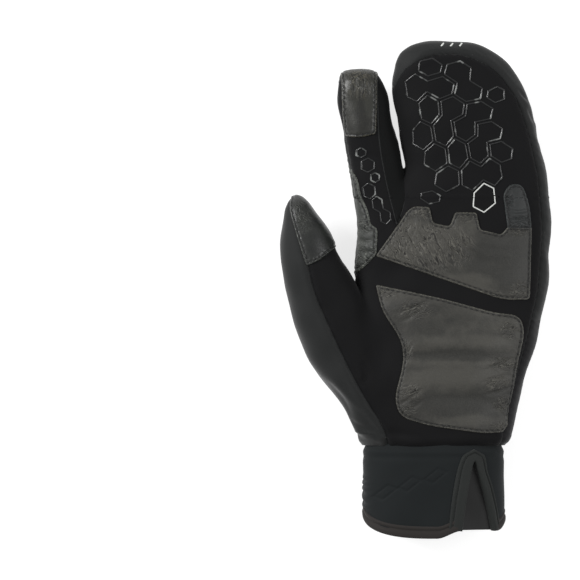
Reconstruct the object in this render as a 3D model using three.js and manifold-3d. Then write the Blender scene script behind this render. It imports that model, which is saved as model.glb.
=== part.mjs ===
// A lobster-claw winter mitt for the left hand: one pocket for the index finger, one for the other three,
// and a thumb. It lies on its back with the palm up, fingers along +Y, thumb towards -X, +Z up.
// Lengths are millimetres. The origin is on the surface under the middle of the mitt.
import * as THREE from "three";
import { mergeVertices } from "three/addons/utils/BufferGeometryUtils.js";
import Module from "manifold-3d";

const manifold = await Module();
manifold.setup();

// Driving dimensions
const shellWall = 2.2; // softshell with its fleece lining
const leatherWall = 1.0;
const clearance = 0.3; // between pieces that are sewn together
const pipingWidth = 2.6;
const cuffHeight = 50;
const bindingWall = 1.0;
const bindingHeight = 5.4;
const slitBindingWidth = 3.4;
const gussetWall = 1.0;
const splitHeight = 19; // the palm panels lie above this height, the back panels below it
const aboveAll = 70;
const belowAll = -5;
const sidePanelTop = 118; // below this the black back panel wraps round to the palm
const indexCapStart = 245; // the index pad wraps over the tip to the back from here on
const hemRise = 11; // the hem is cut this much higher at the two sides than at palm and back
const squareness = 2.4; // exponent of the rounded cross-sections, 2 is an ellipse
const tipHalf = 12; // a section thinner than this is part of a rounded tip

const table = (columns, rows) =>
  rows.map((row) => Object.fromEntries(columns.map((name, i) => [name, row[i]])));

// Cross-sections: distance from the hem, edge towards the thumb, edge towards the little finger, height of
// the middle, half of the thickness
const sectionColumns = ["y", "left", "right", "middle", "half"];

const handSections = table(sectionColumns, [
  [50, -30, 49.2, 18.2, 19.8],
  [55, -31.6, 52.2, 18.8, 20.4],
  [72, -34.5, 55.8, 19.1, 20.8],
  [88, -37, 59.5, 19.3, 21],
  [120, -36.5, 68.8, 18.8, 20.5],
  [136, -32.8, 71.5, 18.3, 20],
  [152, -29.5, 73, 17.8, 19.4],
  [168, -25, 73.5, 17.4, 18.9],
  [186, -16, 72.6, 17.2, 18.3],
  [203, -5.8, 70.5, 17.4, 17.6],
  [220, -8.8, 66.3, 18.2, 16.8],
  [236, -12, 62, 19.4, 15.6],
  [248, -12.8, 57, 20.6, 14.2],
  [257, -12.2, 51.8, 21.4, 12.2],
  [263, -9.6, 45.4, 22, 9.8],
  [267.2, -3.6, 38, 22.5, 7],
  [269.4, 6, 30, 22.8, 4],
  [270, 13, 24, 22.9, 1.6],
]);

const indexSections = table(sectionColumns, [
  [132, -30.5, -8, 18.5, 10],
  [146, -31, -4, 18.5, 12.2],
  [160, -30.9, -2.5, 18.3, 13.2],
  [177, -31.8, -2.5, 18.2, 13.4],
  [190, -33.6, -4, 18.2, 13.2],
  [204, -36.2, -7.4, 18.4, 12.6],
  [228, -40.7, -12.7, 19.3, 11.3],
  [240, -42.7, -15.4, 19.8, 10.4],
  [247.5, -43, -17.8, 20.1, 9],
  [251.6, -41.2, -20, 20.3, 6.6],
  [253.5, -38.5, -22.8, 20.4, 3.6],
  [253.9, -35.6, -26, 20.4, 1.4],
]);

const thumbSections = table(sectionColumns, [
  [58, -33, -10, 21, 13],
  [68, -37, -12, 22, 15.4],
  [78, -43.8, -14.5, 22.8, 16.6],
  [88, -53.2, -17, 23.6, 17.2],
  [100, -60.2, -20, 24.2, 17.4],
  [114, -65.2, -24, 24.6, 17.2],
  [128, -69, -29, 24.8, 16.6],
  [141, -72, -35, 24.8, 15.8],
  [151.5, -73.3, -41, 24.6, 15],
  [160.5, -73.5, -45, 24.4, 14],
  [169.6, -73, -50, 24.1, 12.4],
  [177, -72.2, -55.4, 23.8, 10.2],
  [182, -70.2, -59.4, 23.6, 7.4],
  [184.8, -67.8, -62.6, 23.5, 3.8],
  [185.5, -66.4, -64.2, 23.5, 1.4],
]);

const cuffSections = table(sectionColumns, [
  [0, -27.4, 47.4, 19.4, 19.6],
  [10, -28, 48, 19.4, 19.8],
  [28, -28.6, 48.2, 19.2, 19.6],
  [cuffHeight, -28.8, 48, 19, 19.2],
]);

// Outlines seen from above, in the same x and y: corner points and the radius that rounds each one
const outlineColumns = ["x", "y", "round"];

const palmOutline = table(outlineColumns, [
  [-15.8, 40, 0],
  [-16, 57, 8],
  [-31, 81, 12],
  [-42, 103, 12],
  [-56, 134, 10],
  [-61, 160, 8],
  [-60, 179, 4],
  [-52, 180, 0],
  [-38, 150, 3],
  [-33, 140, 3],
  [-28, 165, 12],
  [-30, 190, 12],
  [-37.5, 225, 10],
  [-39.4, 246, 4],
  [-33, 250.5, 4],
  [-25, 250.5, 4],
  [-20, 245, 5],
  [-15.5, 205, 12],
  [-14.5, 176, 5],
  [-9, 172, 4],
  [-4.5, 180, 6],
  [-3.5, 200, 10],
  [-8, 236, 10],
  [-7, 253, 6],
  [5, 261.5, 9],
  [24, 262.7, 10],
  [44, 253, 12],
  [57, 233, 14],
  [66, 200, 20],
  [68.8, 165, 20],
  [66, 132, 20],
  [56, 92, 20],
  [46, 50, 6],
  [45, 40, 0],
]);

const backPanelOutline = table(outlineColumns, [
  [90, 40, 0],
  [90, 118, 0],
  [69, 133, 6],
  [69, 163, 9],
  [6, 164.5, 14],
  [-22, 143, 6],
  [-31, 128, 6],
  [-34, 108, 6],
  [-35.5, 90, 8],
  [-33.5, 70, 8],
  [-27, 40, 0],
]);

const thumbOutline = table(outlineColumns, [
  [-90, 40, 0],
  [-8, 40, 0],
  [-12, 70, 0],
  [-20, 128, 4],
  [-31, 133, 3],
  [-35.5, 139, 2],
  [-38, 150, 3],
  [-44, 165, 0],
  [-55, 200, 0],
  [-90, 200, 0],
]);

const sidePanelOutline = table(outlineColumns, [
  [30, 0, 0],
  [90, 0, 0],
  [90, 140, 0],
  [30, 140, 0],
]);

const fourchettePalmOutline = table(outlineColumns, [
  [-19.4, 245, 0],
  [-15, 205, 12],
  [-14, 177, 3],
  [-9, 173.2, 4],
  [-5.2, 180, 6],
  [-4.2, 200, 10],
  [-8.6, 236, 10],
  [-7.8, 262, 0],
  [-20, 262, 0],
]);

const fourchetteBackOutline = table(outlineColumns, [
  [-14, 248, 0],
  [-9.5, 220, 12],
  [-5, 195, 6],
  [0.5, 186, 4],
  [6, 195, 6],
  [5.5, 215, 12],
  [1, 245, 10],
  [-7, 264, 0],
  [-14, 264, 0],
]);

const upperLeatherOutline = table(outlineColumns, [
  [-22, 153, 1],
  [-4.5, 178, 3],
  [-1, 180, 1.5],
  [7.2, 179.6, 1.5],
  [9, 171, 2],
  [18, 169, 2],
  [21, 176.8, 1.5],
  [32.6, 176.6, 1.5],
  [34.4, 167.3, 2],
  [46, 164.6, 2],
  [49, 168.6, 1],
  [62.3, 168.6, 1],
  [62, 145, 8],
  [61, 129.4, 2],
  [47, 129.2, 6],
]);

const littleFingerLeatherOutline = table(outlineColumns, [
  [49, 169.5, 1],
  [47, 187, 3],
  [51, 192.2, 3],
  [57.6, 192, 4],
  [61.6, 180, 8],
  [62.3, 169.5, 1],
]);

const lowerLeatherOutline = table(outlineColumns, [
  [-22, 137.6, 1.5],
  [14, 130, 8],
  [42, 122.4, 6],
  [56, 121, 6],
  [58.3, 112, 5],
  [53, 87, 10],
  [49, 58, 4],
  [38, 56.8, 6],
  [7, 61, 8],
  [-9, 66, 6],
  [-12, 76, 6],
  [-7, 95, 8],
  [-8, 107, 8],
  [-19, 124, 6],
]);

const sidePalmOutline = table(outlineColumns, [
  [-60, 200, 0],
  [-36, 201, 0],
  [-31, 196, 4],
  [-29.4, 185, 4],
  [-26, 177, 3],
  [-24.5, 170, 2],
  [-21, 168, 2],
  [-21.4, 154, 2],
  [-27, 148.6, 3],
  [-33, 142.4, 2],
  [-60, 134, 0],
]);

const sideBackOutline = table(outlineColumns, [
  [-60, 212, 0],
  [-39, 214, 3],
  [-33.6, 218.4, 3],
  [-27.5, 212, 4],
  [-26.3, 204, 4],
  [-31, 197.6, 3],
  [-31, 189, 3],
  [-25, 180, 4],
  [-23.6, 160, 8],
  [-24.3, 139.6, 4],
  [-34, 129, 3],
  [-60, 120, 0],
]);

const thumbCrotchOutline = table(outlineColumns, [
  [-37, 127, 4],
  [-47, 119.6, 4],
  [-56, 121, 4],
  [-63.5, 131, 5],
  [-63, 146, 6],
  [-57, 158, 5],
  [-47, 163, 3],
  [-30, 163, 0],
  [-30, 127, 0],
]);

const thumbTipOutline = table(outlineColumns, [
  [-66, 190, 0],
  [-68.6, 179, 3],
  [-65, 166, 6],
  [-59.4, 147.6, 1.5],
  [-51, 151.6, 8],
  [-40, 162, 0],
  [-40, 190, 0],
]);

const indexTipOutline = table(outlineColumns, [
  [-39.6, 218.6, 1.5],
  [-30.5, 217, 8],
  [-21.6, 219.4, 1.5],
  [-21, 244, 6],
  [-22, 262, 0],
  [-42, 262, 0],
  [-40, 244, 8],
]);

const slitOutline = table(outlineColumns, [
  [23.6, -10, 0],
  [25.4, 16, 8],
  [31.6, 41.5, 1],
  [39, 18, 8],
  [44, -10, 0],
]);

// A closed geometry as a solid that can be cut and joined
function toSolid(geometry) {
  const bare = geometry.index ? geometry.toNonIndexed() : geometry;
  const positions = new THREE.BufferGeometry().setAttribute("position", bare.getAttribute("position"));
  const merged = mergeVertices(positions, 1e-4);
  return new manifold.Manifold(
    new manifold.Mesh({
      numProp: 3,
      vertProperties: merged.attributes.position.array,
      triVerts: new Uint32Array(merged.index.array),
    }),
  );
}

// A solid through a part's cross-sections, each a rounded rectangle grown by `grow` and pressed flat at
// `floor`; `rise` moves its sides towards the fingers
function loft(sections, grow, { sides = 24, floor = 0, openEnd = 0, rise = 0 } = {}) {
  const kept = sections.filter((s) => s.half + grow > 0.8 && (s.right - s.left) / 2 + grow > 0.8);
  const points = [];
  const faces = [];
  const power = 2 / squareness;
  kept.forEach((section, i) => {
    const towardsTip = Math.max(0, 1 - section.half / tipHalf);
    const y = section.y + grow * towardsTip - (i === 0 ? openEnd : 0);
    const centre = (section.left + section.right) / 2;
    for (let k = 0; k < sides; k++) {
      const angle = (k / sides) * 2 * Math.PI;
      const across = Math.sign(Math.cos(angle)) * Math.abs(Math.cos(angle)) ** power;
      const up = Math.sign(Math.sin(angle)) * Math.abs(Math.sin(angle)) ** power;
      const x = centre + ((section.right - section.left) / 2 + grow) * across;
      const z = section.middle + (section.half + grow) * up;
      points.push(x, y + rise * (1 - Math.abs(up)), Math.max(z, floor));
    }
  });
  for (let i = 0; i + 1 < kept.length; i++)
    for (let k = 0; k < sides; k++) {
      const a = i * sides + k;
      const b = i * sides + ((k + 1) % sides);
      faces.push(a, a + sides, b, b, a + sides, b + sides);
    }
  const last = (kept.length - 1) * sides;
  const ends = [kept[0], kept.at(-1)];
  ends.forEach((section, end) => {
    const y = end ? section.y + grow * Math.max(0, 1 - section.half / tipHalf) : section.y - openEnd;
    points.push((section.left + section.right) / 2, y, section.middle);
  });
  const startCentre = last + sides;
  for (let k = 0; k < sides; k++) {
    const next = (k + 1) % sides;
    faces.push(startCentre, k, next);
    faces.push(startCentre + 1, last + next, last + k);
  }
  const geometry = new THREE.BufferGeometry();
  geometry.setAttribute("position", new THREE.Float32BufferAttribute(points, 3));
  geometry.setIndex(faces);
  return toSolid(geometry);
}

// The outline's points with each corner rounded by a curve
function roundedPoints(outline) {
  const count = outline.length;
  return outline.flatMap((corner, i) => {
    const here = new THREE.Vector2(corner.x, corner.y);
    if (!corner.round) return [here];
    const before = outline[(i + count - 1) % count];
    const after = outline[(i + 1) % count];
    const reach = (other) => {
      const step = new THREE.Vector2(other.x, other.y).sub(here);
      return here.clone().add(step.setLength(Math.min(corner.round, step.length() / 2.2)));
    };
    const bend = new THREE.QuadraticBezierCurve(reach(before), here, reach(after));
    return bend.getPoints(corner.round > 6 ? 3 : 2);
  });
}

// Moves every point of a closed outline outwards by `distance`
function outset(points, distance) {
  const turn = THREE.ShapeUtils.isClockWise(points) ? -1 : 1;
  return points.map((point, i) => {
    const before = points[(i + points.length - 1) % points.length];
    const after = points[(i + 1) % points.length];
    const into = point.clone().sub(before).normalize();
    const out = after.clone().sub(point).normalize();
    const along = into.clone().add(out).normalize();
    const stretch = 1 / Math.max(0.5, along.dot(out));
    return new THREE.Vector2(along.y, -along.x).multiplyScalar(turn * distance * stretch).add(point);
  });
}

// An upright block with the outline's shape
function block(outline, low, high, grow = 0) {
  const points = outset(roundedPoints(outline), grow);
  const geometry = new THREE.ExtrudeGeometry(new THREE.Shape(points), {
    depth: high - low,
    bevelEnabled: false,
    steps: 1,
  });
  return toSolid(geometry.translate(0, 0, low));
}

// A straight-sided block between two distances from the hem
function band(from, to) {
  const geometry = new THREE.BoxGeometry(400, to - from, 200);
  return toSolid(geometry.translate(0, (from + to) / 2, 0));
}

const largest = (solid) =>
  solid.decompose().reduce((best, body) => (body.volume() > best.volume() ? body : best));

const fingerSides = 18;
const cuffSides = 20;

// The body without the thumb: hand and three-finger pocket joined to the index finger
const body = (grow, options) =>
  loft(handSections, grow, options).add(loft(indexSections, grow, { ...options, sides: fingerSides }));
const thumb = (grow, options) => loft(thumbSections, grow, { sides: fingerSides, ...options });
const cuffTube = (grow, options) => loft(cuffSections, grow, { sides: cuffSides, ...options });

const upper = (outline, grow = 0) => block(outline, splitHeight, aboveAll, grow);
const lower = (outline, grow = 0) => block(outline, belowAll, splitHeight, grow);

// A skin that lies on a part, from `clearance` above it to `clearance` plus its thickness
const skinOn = (part, thickness) => part(clearance + thickness).subtract(part(clearance));

const wall = body(0)
  .add(thumb(0))
  .subtract(body(-shellWall, { floor: shellWall, openEnd: 10 }))
  .subtract(thumb(-shellWall, { floor: shellWall }));

const palmBlock = upper(palmOutline);
const forkBlock = (grow) => upper(fourchettePalmOutline, grow).add(lower(fourchetteBackOutline, grow));
const wristSide = (grow) =>
  band(cuffHeight - 10, sidePanelTop + grow).intersect(block(sidePanelOutline, belowAll, aboveAll, grow));
const underPanel = (grow) => lower(backPanelOutline, grow);

const palmShell = largest(wall.intersect(palmBlock));
const aroundPalm = wall.subtract(upper(palmOutline, clearance));
const fourchette = largest(aroundPalm.intersect(forkBlock(0)));
const aroundFork = aroundPalm.subtract(forkBlock(clearance));
const backPanel = largest(aroundFork.intersect(underPanel(0).add(wristSide(0))));
const aroundPanel = aroundFork.subtract(wristSide(clearance)).subtract(underPanel(clearance));
const thumbBlock = (grow) => block(thumbOutline, belowAll, aboveAll, grow);
const thumbShell = largest(aroundPanel.intersect(thumbBlock(0)));
const aroundThumb = aroundPanel.subtract(thumbBlock(clearance));
const piping = largest(aroundThumb.intersect(underPanel(clearance + pipingWidth)));
const backShell = largest(aroundThumb.subtract(underPanel(clearance + pipingWidth + clearance)));

// Leather
const bodySkin = skinOn(body, leatherWall);
const thumbSkin = skinOn(thumb, leatherWall);
const clearOfThumb = thumb(clearance + leatherWall + clearance);
const clearOfBody = body(clearance + leatherWall + clearance);
const upperLeather = largest(bodySkin.intersect(upper(upperLeatherOutline)));
const littleFingerLeather = largest(bodySkin.intersect(upper(littleFingerLeatherOutline)));
const lowerLeather = largest(bodySkin.intersect(upper(lowerLeatherOutline)).subtract(clearOfThumb));
const sideLeather = largest(
  bodySkin
    .intersect(upper(sidePalmOutline).add(lower(sideBackOutline)))
    .subtract(upper(upperLeatherOutline, clearance))
    .subtract(clearOfThumb),
);
const indexCap = upper(indexTipOutline).add(lower(indexTipOutline).intersect(band(indexCapStart, 300)));
const indexTipLeather = largest(bodySkin.intersect(indexCap));
const thumbTipLeather = largest(thumbSkin.intersect(block(thumbTipOutline, 24, aboveAll)));
const thumbCrotchLeather = largest(
  thumbSkin.intersect(block(thumbCrotchOutline, belowAll, 23.5)).subtract(clearOfBody),
);

// Cuff with its slit, the soft gusset behind the slit and the tapes that bind the edges
const cuffFloor = clearance + bindingWall;
const cuffTop = cuffHeight - clearance;
const behindCuff = shellWall + clearance;

// Everything between the open end and a line `height` above the hem's edge, which rises at the two sides
function belowRim(height) {
  const [hemSection] = cuffSections;
  const rows = [-60, height].map((y) => ({ ...hemSection, y }));
  return loft(rows, 4, { sides: cuffSides, floor: -10, rise: hemRise });
}

const openTube = (grow, floor) => cuffTube(grow, { floor, openEnd: 10 });
const slit = (grow) => block(slitOutline, splitHeight, aboveAll, grow);
const openAtTop = (solid) => solid.translate([0, 5, 0]);
const cuffHollow = openTube(-shellWall, cuffFloor + shellWall);
const cuff = largest(
  openTube(0, cuffFloor)
    .subtract(cuffHollow.add(openAtTop(cuffHollow)))
    .subtract(belowRim(cuffFloor))
    .intersect(band(0, cuffTop))
    .subtract(slit(0)),
);
const gusset = largest(
  openTube(-behindCuff, 3)
    .subtract(openTube(-behindCuff - gussetWall, 3))
    .intersect(slit(4))
    .intersect(band(0, cuffTop - 1))
    .subtract(belowRim(bindingHeight + clearance)),
);
const slitTape = largest(
  skinOn((grow) => openTube(grow, 0), bindingWall)
    .intersect(block(slitOutline, splitHeight + 4, aboveAll, slitBindingWidth))
    .subtract(slit(0))
    .intersect(band(0, cuffTop))
    .subtract(belowRim(bindingHeight + clearance)),
);
const innerReach = shellWall + clearance;
const tapeBody = openTube(clearance + bindingWall, 0).subtract(
  openTube(-innerReach - bindingWall, cuffFloor + innerReach + bindingWall),
);
const tapeChannel = openTube(clearance, cuffFloor - clearance)
  .subtract(openTube(-innerReach, cuffFloor + innerReach))
  .subtract(belowRim(bindingWall));
const hemTape = largest(
  tapeBody.subtract(tapeChannel).intersect(belowRim(bindingHeight)).subtract(belowRim(0)).subtract(slit(0)),
);

// Materials by finish
const finish = (color, roughness) => new THREE.MeshStandardMaterial({ color, roughness, metalness: 0 });
const finishes = {
  softshell: finish(0x3a3c3c, 0.62),
  palmFabric: finish(0x191a1b, 0.85),
  backFabric: finish(0x262728, 0.75),
  greyLeather: finish(0x4c4c48, 0.6),
  darkLeather: finish(0x33373a, 0.45),
  cuffFabric: finish(0x1f2325, 0.8),
  bindingTape: finish(0x2a2624, 0.7),
  gussetFabric: finish(0x2d2d2d, 0.85),
  reflectivePiping: finish(0xdfe0dc, 0.45),
};

function meshOf(name, solid, material) {
  const { vertProperties, triVerts, numProp, numVert } = solid.getMesh();
  const positions = new Float32Array(numVert * 3);
  for (let i = 0; i < numVert; i++)
    positions.set(vertProperties.subarray(i * numProp, i * numProp + 3), i * 3);
  const geometry = new THREE.BufferGeometry();
  geometry.setAttribute("position", new THREE.BufferAttribute(positions, 3));
  geometry.setIndex(new THREE.BufferAttribute(triVerts, 1));
  geometry.computeVertexNormals();
  const mesh = new THREE.Mesh(geometry, material);
  mesh.name = name;
  return mesh;
}

const mitt = new THREE.Group();
mitt.add(
  meshOf("back_shell", backShell, finishes.softshell),
  meshOf("back_panel", backPanel, finishes.backFabric),
  meshOf("piping", piping, finishes.reflectivePiping),
  meshOf("palm_shell", palmShell, finishes.palmFabric),
  meshOf("fourchette", fourchette, finishes.palmFabric),
  meshOf("thumb_shell", thumbShell, finishes.softshell),
  meshOf("palm_leather_upper", upperLeather, finishes.greyLeather),
  meshOf("palm_leather_lower", lowerLeather, finishes.greyLeather),
  meshOf("little_finger_leather", littleFingerLeather, finishes.darkLeather),
  meshOf("index_side_leather", sideLeather, finishes.greyLeather),
  meshOf("thumb_crotch_leather", thumbCrotchLeather, finishes.greyLeather),
  meshOf("index_tip_leather", indexTipLeather, finishes.darkLeather),
  meshOf("thumb_tip_leather", thumbTipLeather, finishes.darkLeather),
  meshOf("cuff", cuff, finishes.cuffFabric),
  meshOf("cuff_gusset", gusset, finishes.gussetFabric),
  meshOf("slit_binding", slitTape, finishes.bindingTape),
  meshOf("hem_binding", hemTape, finishes.bindingTape),
);

// The middle of the footprint goes over the origin
const extent = new THREE.Box3().setFromObject(mitt);
const middle = extent.getCenter(new THREE.Vector3());
mitt.position.set(-middle.x, -middle.y, -extent.min.z);

export default mitt;
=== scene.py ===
import bpy
import bmesh
import numpy as np
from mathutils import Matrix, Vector


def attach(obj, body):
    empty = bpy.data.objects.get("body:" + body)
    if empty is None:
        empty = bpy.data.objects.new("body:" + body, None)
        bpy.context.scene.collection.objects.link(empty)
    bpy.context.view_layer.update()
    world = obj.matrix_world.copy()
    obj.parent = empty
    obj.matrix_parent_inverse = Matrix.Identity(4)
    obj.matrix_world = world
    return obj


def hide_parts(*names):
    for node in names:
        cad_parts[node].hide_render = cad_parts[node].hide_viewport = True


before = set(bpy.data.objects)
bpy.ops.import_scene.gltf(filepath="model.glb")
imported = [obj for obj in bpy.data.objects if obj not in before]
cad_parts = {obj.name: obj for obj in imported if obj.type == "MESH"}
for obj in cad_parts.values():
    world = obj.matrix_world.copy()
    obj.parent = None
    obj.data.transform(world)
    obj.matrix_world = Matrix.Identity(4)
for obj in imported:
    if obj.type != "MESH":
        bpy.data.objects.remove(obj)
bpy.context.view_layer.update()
mm = 0.001  # shapes are worked out in millimetres, y counted from the hem
toOrigin = np.array([0.0, -135.0, 0.0])  # from the hem's middle to the frame's origin

# Camera straight above the palm, as far off as gives the photograph's flat look
photo = dict(
    pixels=580,
    mmPerPixel=0.5437,
    hemMiddlePixel=(416.0, 537.6),  # where x = 0 at the hem lies in the photograph
    distance=2500.0,
    meanHeight=26.0,
    sensor=36.0,
)


def makeCamera():
    centre = photo["pixels"] / 2
    x = (centre - photo["hemMiddlePixel"][0]) * photo["mmPerPixel"]
    y = (photo["hemMiddlePixel"][1] - centre) * photo["mmPerPixel"]
    width = photo["pixels"] * photo["mmPerPixel"]
    camera = bpy.data.objects.new("camera", bpy.data.cameras.new("camera"))
    camera.data.sensor_width = photo["sensor"]
    camera.data.lens = photo["sensor"] * (photo["distance"] - photo["meanHeight"]) / width
    camera.location = (np.array([x, y, photo["distance"]]) + toOrigin) * mm
    camera.data.clip_end = 20
    bpy.context.collection.objects.link(camera)
    bpy.context.scene.camera = camera


makeCamera()

# Shape of the filled mitt: sections by distance from the hem with their thumb-side and little-finger-side
# edges, middle height and half thickness
handRows = [
    (44, -29.4, 48.4, 18.2, 19.6),
    (50, -30, 49.2, 18.2, 19.8),
    (55, -31.6, 52.2, 18.8, 20.4),
    (72, -34.5, 55.8, 19.1, 20.8),
    (88, -37, 59.5, 19.3, 21),
    (120, -36.5, 68.8, 18.8, 20.5),
    (136, -32.5, 71.5, 18.3, 20),
    (152, -29, 73, 17.8, 19.4),
    (168, -24, 73.5, 17.4, 18.9),
    (186, -16, 72.6, 17.2, 18.3),
    (203, -5.6, 70.5, 17.4, 17.6),
    (211, -6.9, 68.6, 17.8, 17.2),
    (220, -8.8, 66.3, 18.2, 16.8),
    (236, -12, 62, 19.4, 15.6),
    (248, -13, 57, 20.6, 14.2),
    (257, -12.2, 51.8, 21.4, 12.2),
    (263, -9.6, 45.4, 22, 9.8),
    (267.2, -3.6, 38, 22.5, 7),
    (269.4, 6, 30, 22.8, 4),
    (270, 13, 24, 22.9, 1.6),
]
indexRows = [
    (132, -29.5, -8, 18.5, 10),
    (146, -30, -4, 18.5, 12.2),
    (160, -29.8, -2.5, 18.3, 13.2),
    (177, -31, -2.5, 18.2, 13.4),
    (190, -33.2, -4, 18.2, 13.2),
    (204, -36.2, -7.5, 18.4, 12.6),
    (216, -38.4, -10.1, 18.8, 12),
    (228, -40.7, -12.7, 19.3, 11.3),
    (240, -42.7, -15.4, 19.8, 10.4),
    (247.5, -42.4, -17.8, 20.1, 9),
    (251.4, -41.2, -20.0, 20.3, 6.6),
    (253.3, -38.8, -22.6, 20.4, 3.6),
    (253.9, -35.6, -26, 20.4, 1.4),
]
thumbRows = [
    (58, -33, -10, 21, 13),
    (68, -37, -12, 22, 15.4),
    (78, -43.8, -14.5, 22.8, 16.6),
    (88, -53.2, -17, 23.6, 17.2),
    (100, -60.2, -20, 24.2, 17.4),
    (114, -65.2, -24, 24.6, 17.2),
    (128, -69, -29, 24.8, 16.6),
    (141, -72, -35, 24.8, 15.8),
    (151.5, -73.3, -41, 24.6, 15),
    (160.5, -73.5, -45, 24.4, 14),
    (169.6, -73, -50, 24.1, 12.4),
    (177, -72.2, -55.4, 23.8, 10.2),
    (182, -70.2, -59.4, 23.6, 7.4),
    (184.8, -67.8, -62.6, 23.5, 3.8),
    (185.5, -66.4, -64.2, 23.5, 1.4),
]
cuffRows = [
    (0, -27.4, 47.4, 19.4, 19.6),
    (10, -28, 48, 19.4, 19.8),
    (28, -28.6, 48.2, 19.2, 19.6),
    (56, -28.8, 48, 19, 19.2),
]
squareness = 2.4  # exponent of the rounded cross-sections, 2 is an ellipse
splitHeight = 19.0  # palm panels lie above it, back panels below
wristAt = 50.0


# cubic pieces through the rows; a slope is the harmonic mean of its neighbours' and zero at a peak
def smoothTable(rows):
    rows = np.array(rows, float)
    at, values = rows[:, 0], rows[:, 1:]
    step = np.diff(at)[:, None]
    rate = np.diff(values, axis=0) / step
    both = rate[:-1] * rate[1:]
    inner = np.where(both > 0, 2 * both / np.where(both > 0, rate[:-1] + rate[1:], 1), 0)
    slope = np.vstack([rate[:1], inner, rate[-1:]])

    def read(q):
        q = np.clip(q, at[0], at[-1])
        i = np.clip(np.searchsorted(at, q, side="right") - 1, 0, len(at) - 2)
        s = ((q - at[i]) / step[i, 0])[:, None]
        start = (1 + 2 * s) * (1 - s) ** 2 * values[i] + s * (1 - s) ** 2 * step[i] * slope[i]
        return start + s * s * (3 - 2 * s) * values[i + 1] + s * s * (s - 1) * step[i] * slope[i + 1]

    return read


# 0 below low, 1 above high, an S between them
def smoothStep(low, high, value):
    t = np.clip((value - low) / (high - low), 0, 1)
    return t * t * (3 - 2 * t)


# 1 at value 0, fading to 0 on both sides
def bell(value, width):
    return np.exp(-((value / width) ** 2))


# the smaller of two distances, rounded over a width where they meet
def softMin(a, b, width):
    near = np.clip(width - np.abs(a - b), 0, None) / width
    return np.minimum(a, b) - near * near * width / 4


def softMax(a, b, width):
    return -softMin(-a, -b, width)


# Distance to a lobe: how far a point is past its section's rounded rectangle, over the slope of that
def lobe(rows, sideCut=None):
    read = smoothTable(rows)
    start, end = rows[0][0], rows[-1][0]

    def past(points):
        left, right, middle, half = read(points[:, 1]).T
        if sideCut is not None:
            left = left + sideCut(points[:, 1])[:, 0] * np.clip((middle - points[:, 2]) / half, 0, 1) ** 1.5
        across = np.abs(points[:, 0] - (left + right) / 2) / ((right - left) / 2)
        up = np.abs(points[:, 2] - middle) / half
        return (across**squareness + up**squareness) ** (1 / squareness) - 1

    def distance(points):
        value = past(points)
        reach = 0.05
        slopes = [(past(points + reach * axis) - value) / reach for axis in np.eye(3)]
        steep = np.sqrt(sum(slope**2 for slope in slopes)) + 1e-6
        return np.maximum(value / steep, np.maximum(start - points[:, 1], points[:, 1] - end))

    return distance


# towards the back the claw's inner wall slopes away from the index finger by this much
clawSlope = smoothTable([(172, 0), (184, 4), (200, 8.5), (225, 9.5), (245, 8), (258, 4), (266, 0)])
handLobe = lobe(handRows, clawSlope)
indexLobe = lobe(indexRows)
thumbLobe = lobe(thumbRows)
forkBlend = smoothTable([(140, 5), (160, 8), (178, 8), (192, 3), (200, 0.8), (206, 0.3), (230, 0.3)])


def mittDistance(points):
    y, z = points[:, 1], points[:, 2]
    body = softMin(handLobe(points), indexLobe(points), forkBlend(y)[:, 0])
    thumbWidth = 2.2 + 6 * smoothStep(20, 32, z) * smoothStep(140, 110, y)
    whole = softMin(body, thumbLobe(points), thumbWidth)
    return softMax(whole, -z, 2.0)  # pressed flat where it lies


def gradientOf(distance, points, reach=0.04):
    parts = [distance(points + reach * axis) - distance(points - reach * axis) for axis in np.eye(3)]
    return np.stack(parts, 1) / (2 * reach)


# Newton steps: each point moves down the distance's slope until it lies on the surface
def settle(points, rounds=2):
    for _ in range(rounds):
        slope = gradientOf(mittDistance, points)
        points = points - slope * (mittDistance(points) / np.maximum((slope**2).sum(1), 0.05))[:, None]
    return points


def unit(vectors):
    return vectors / np.maximum(np.linalg.norm(vectors, axis=-1, keepdims=True), 1e-9)


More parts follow.
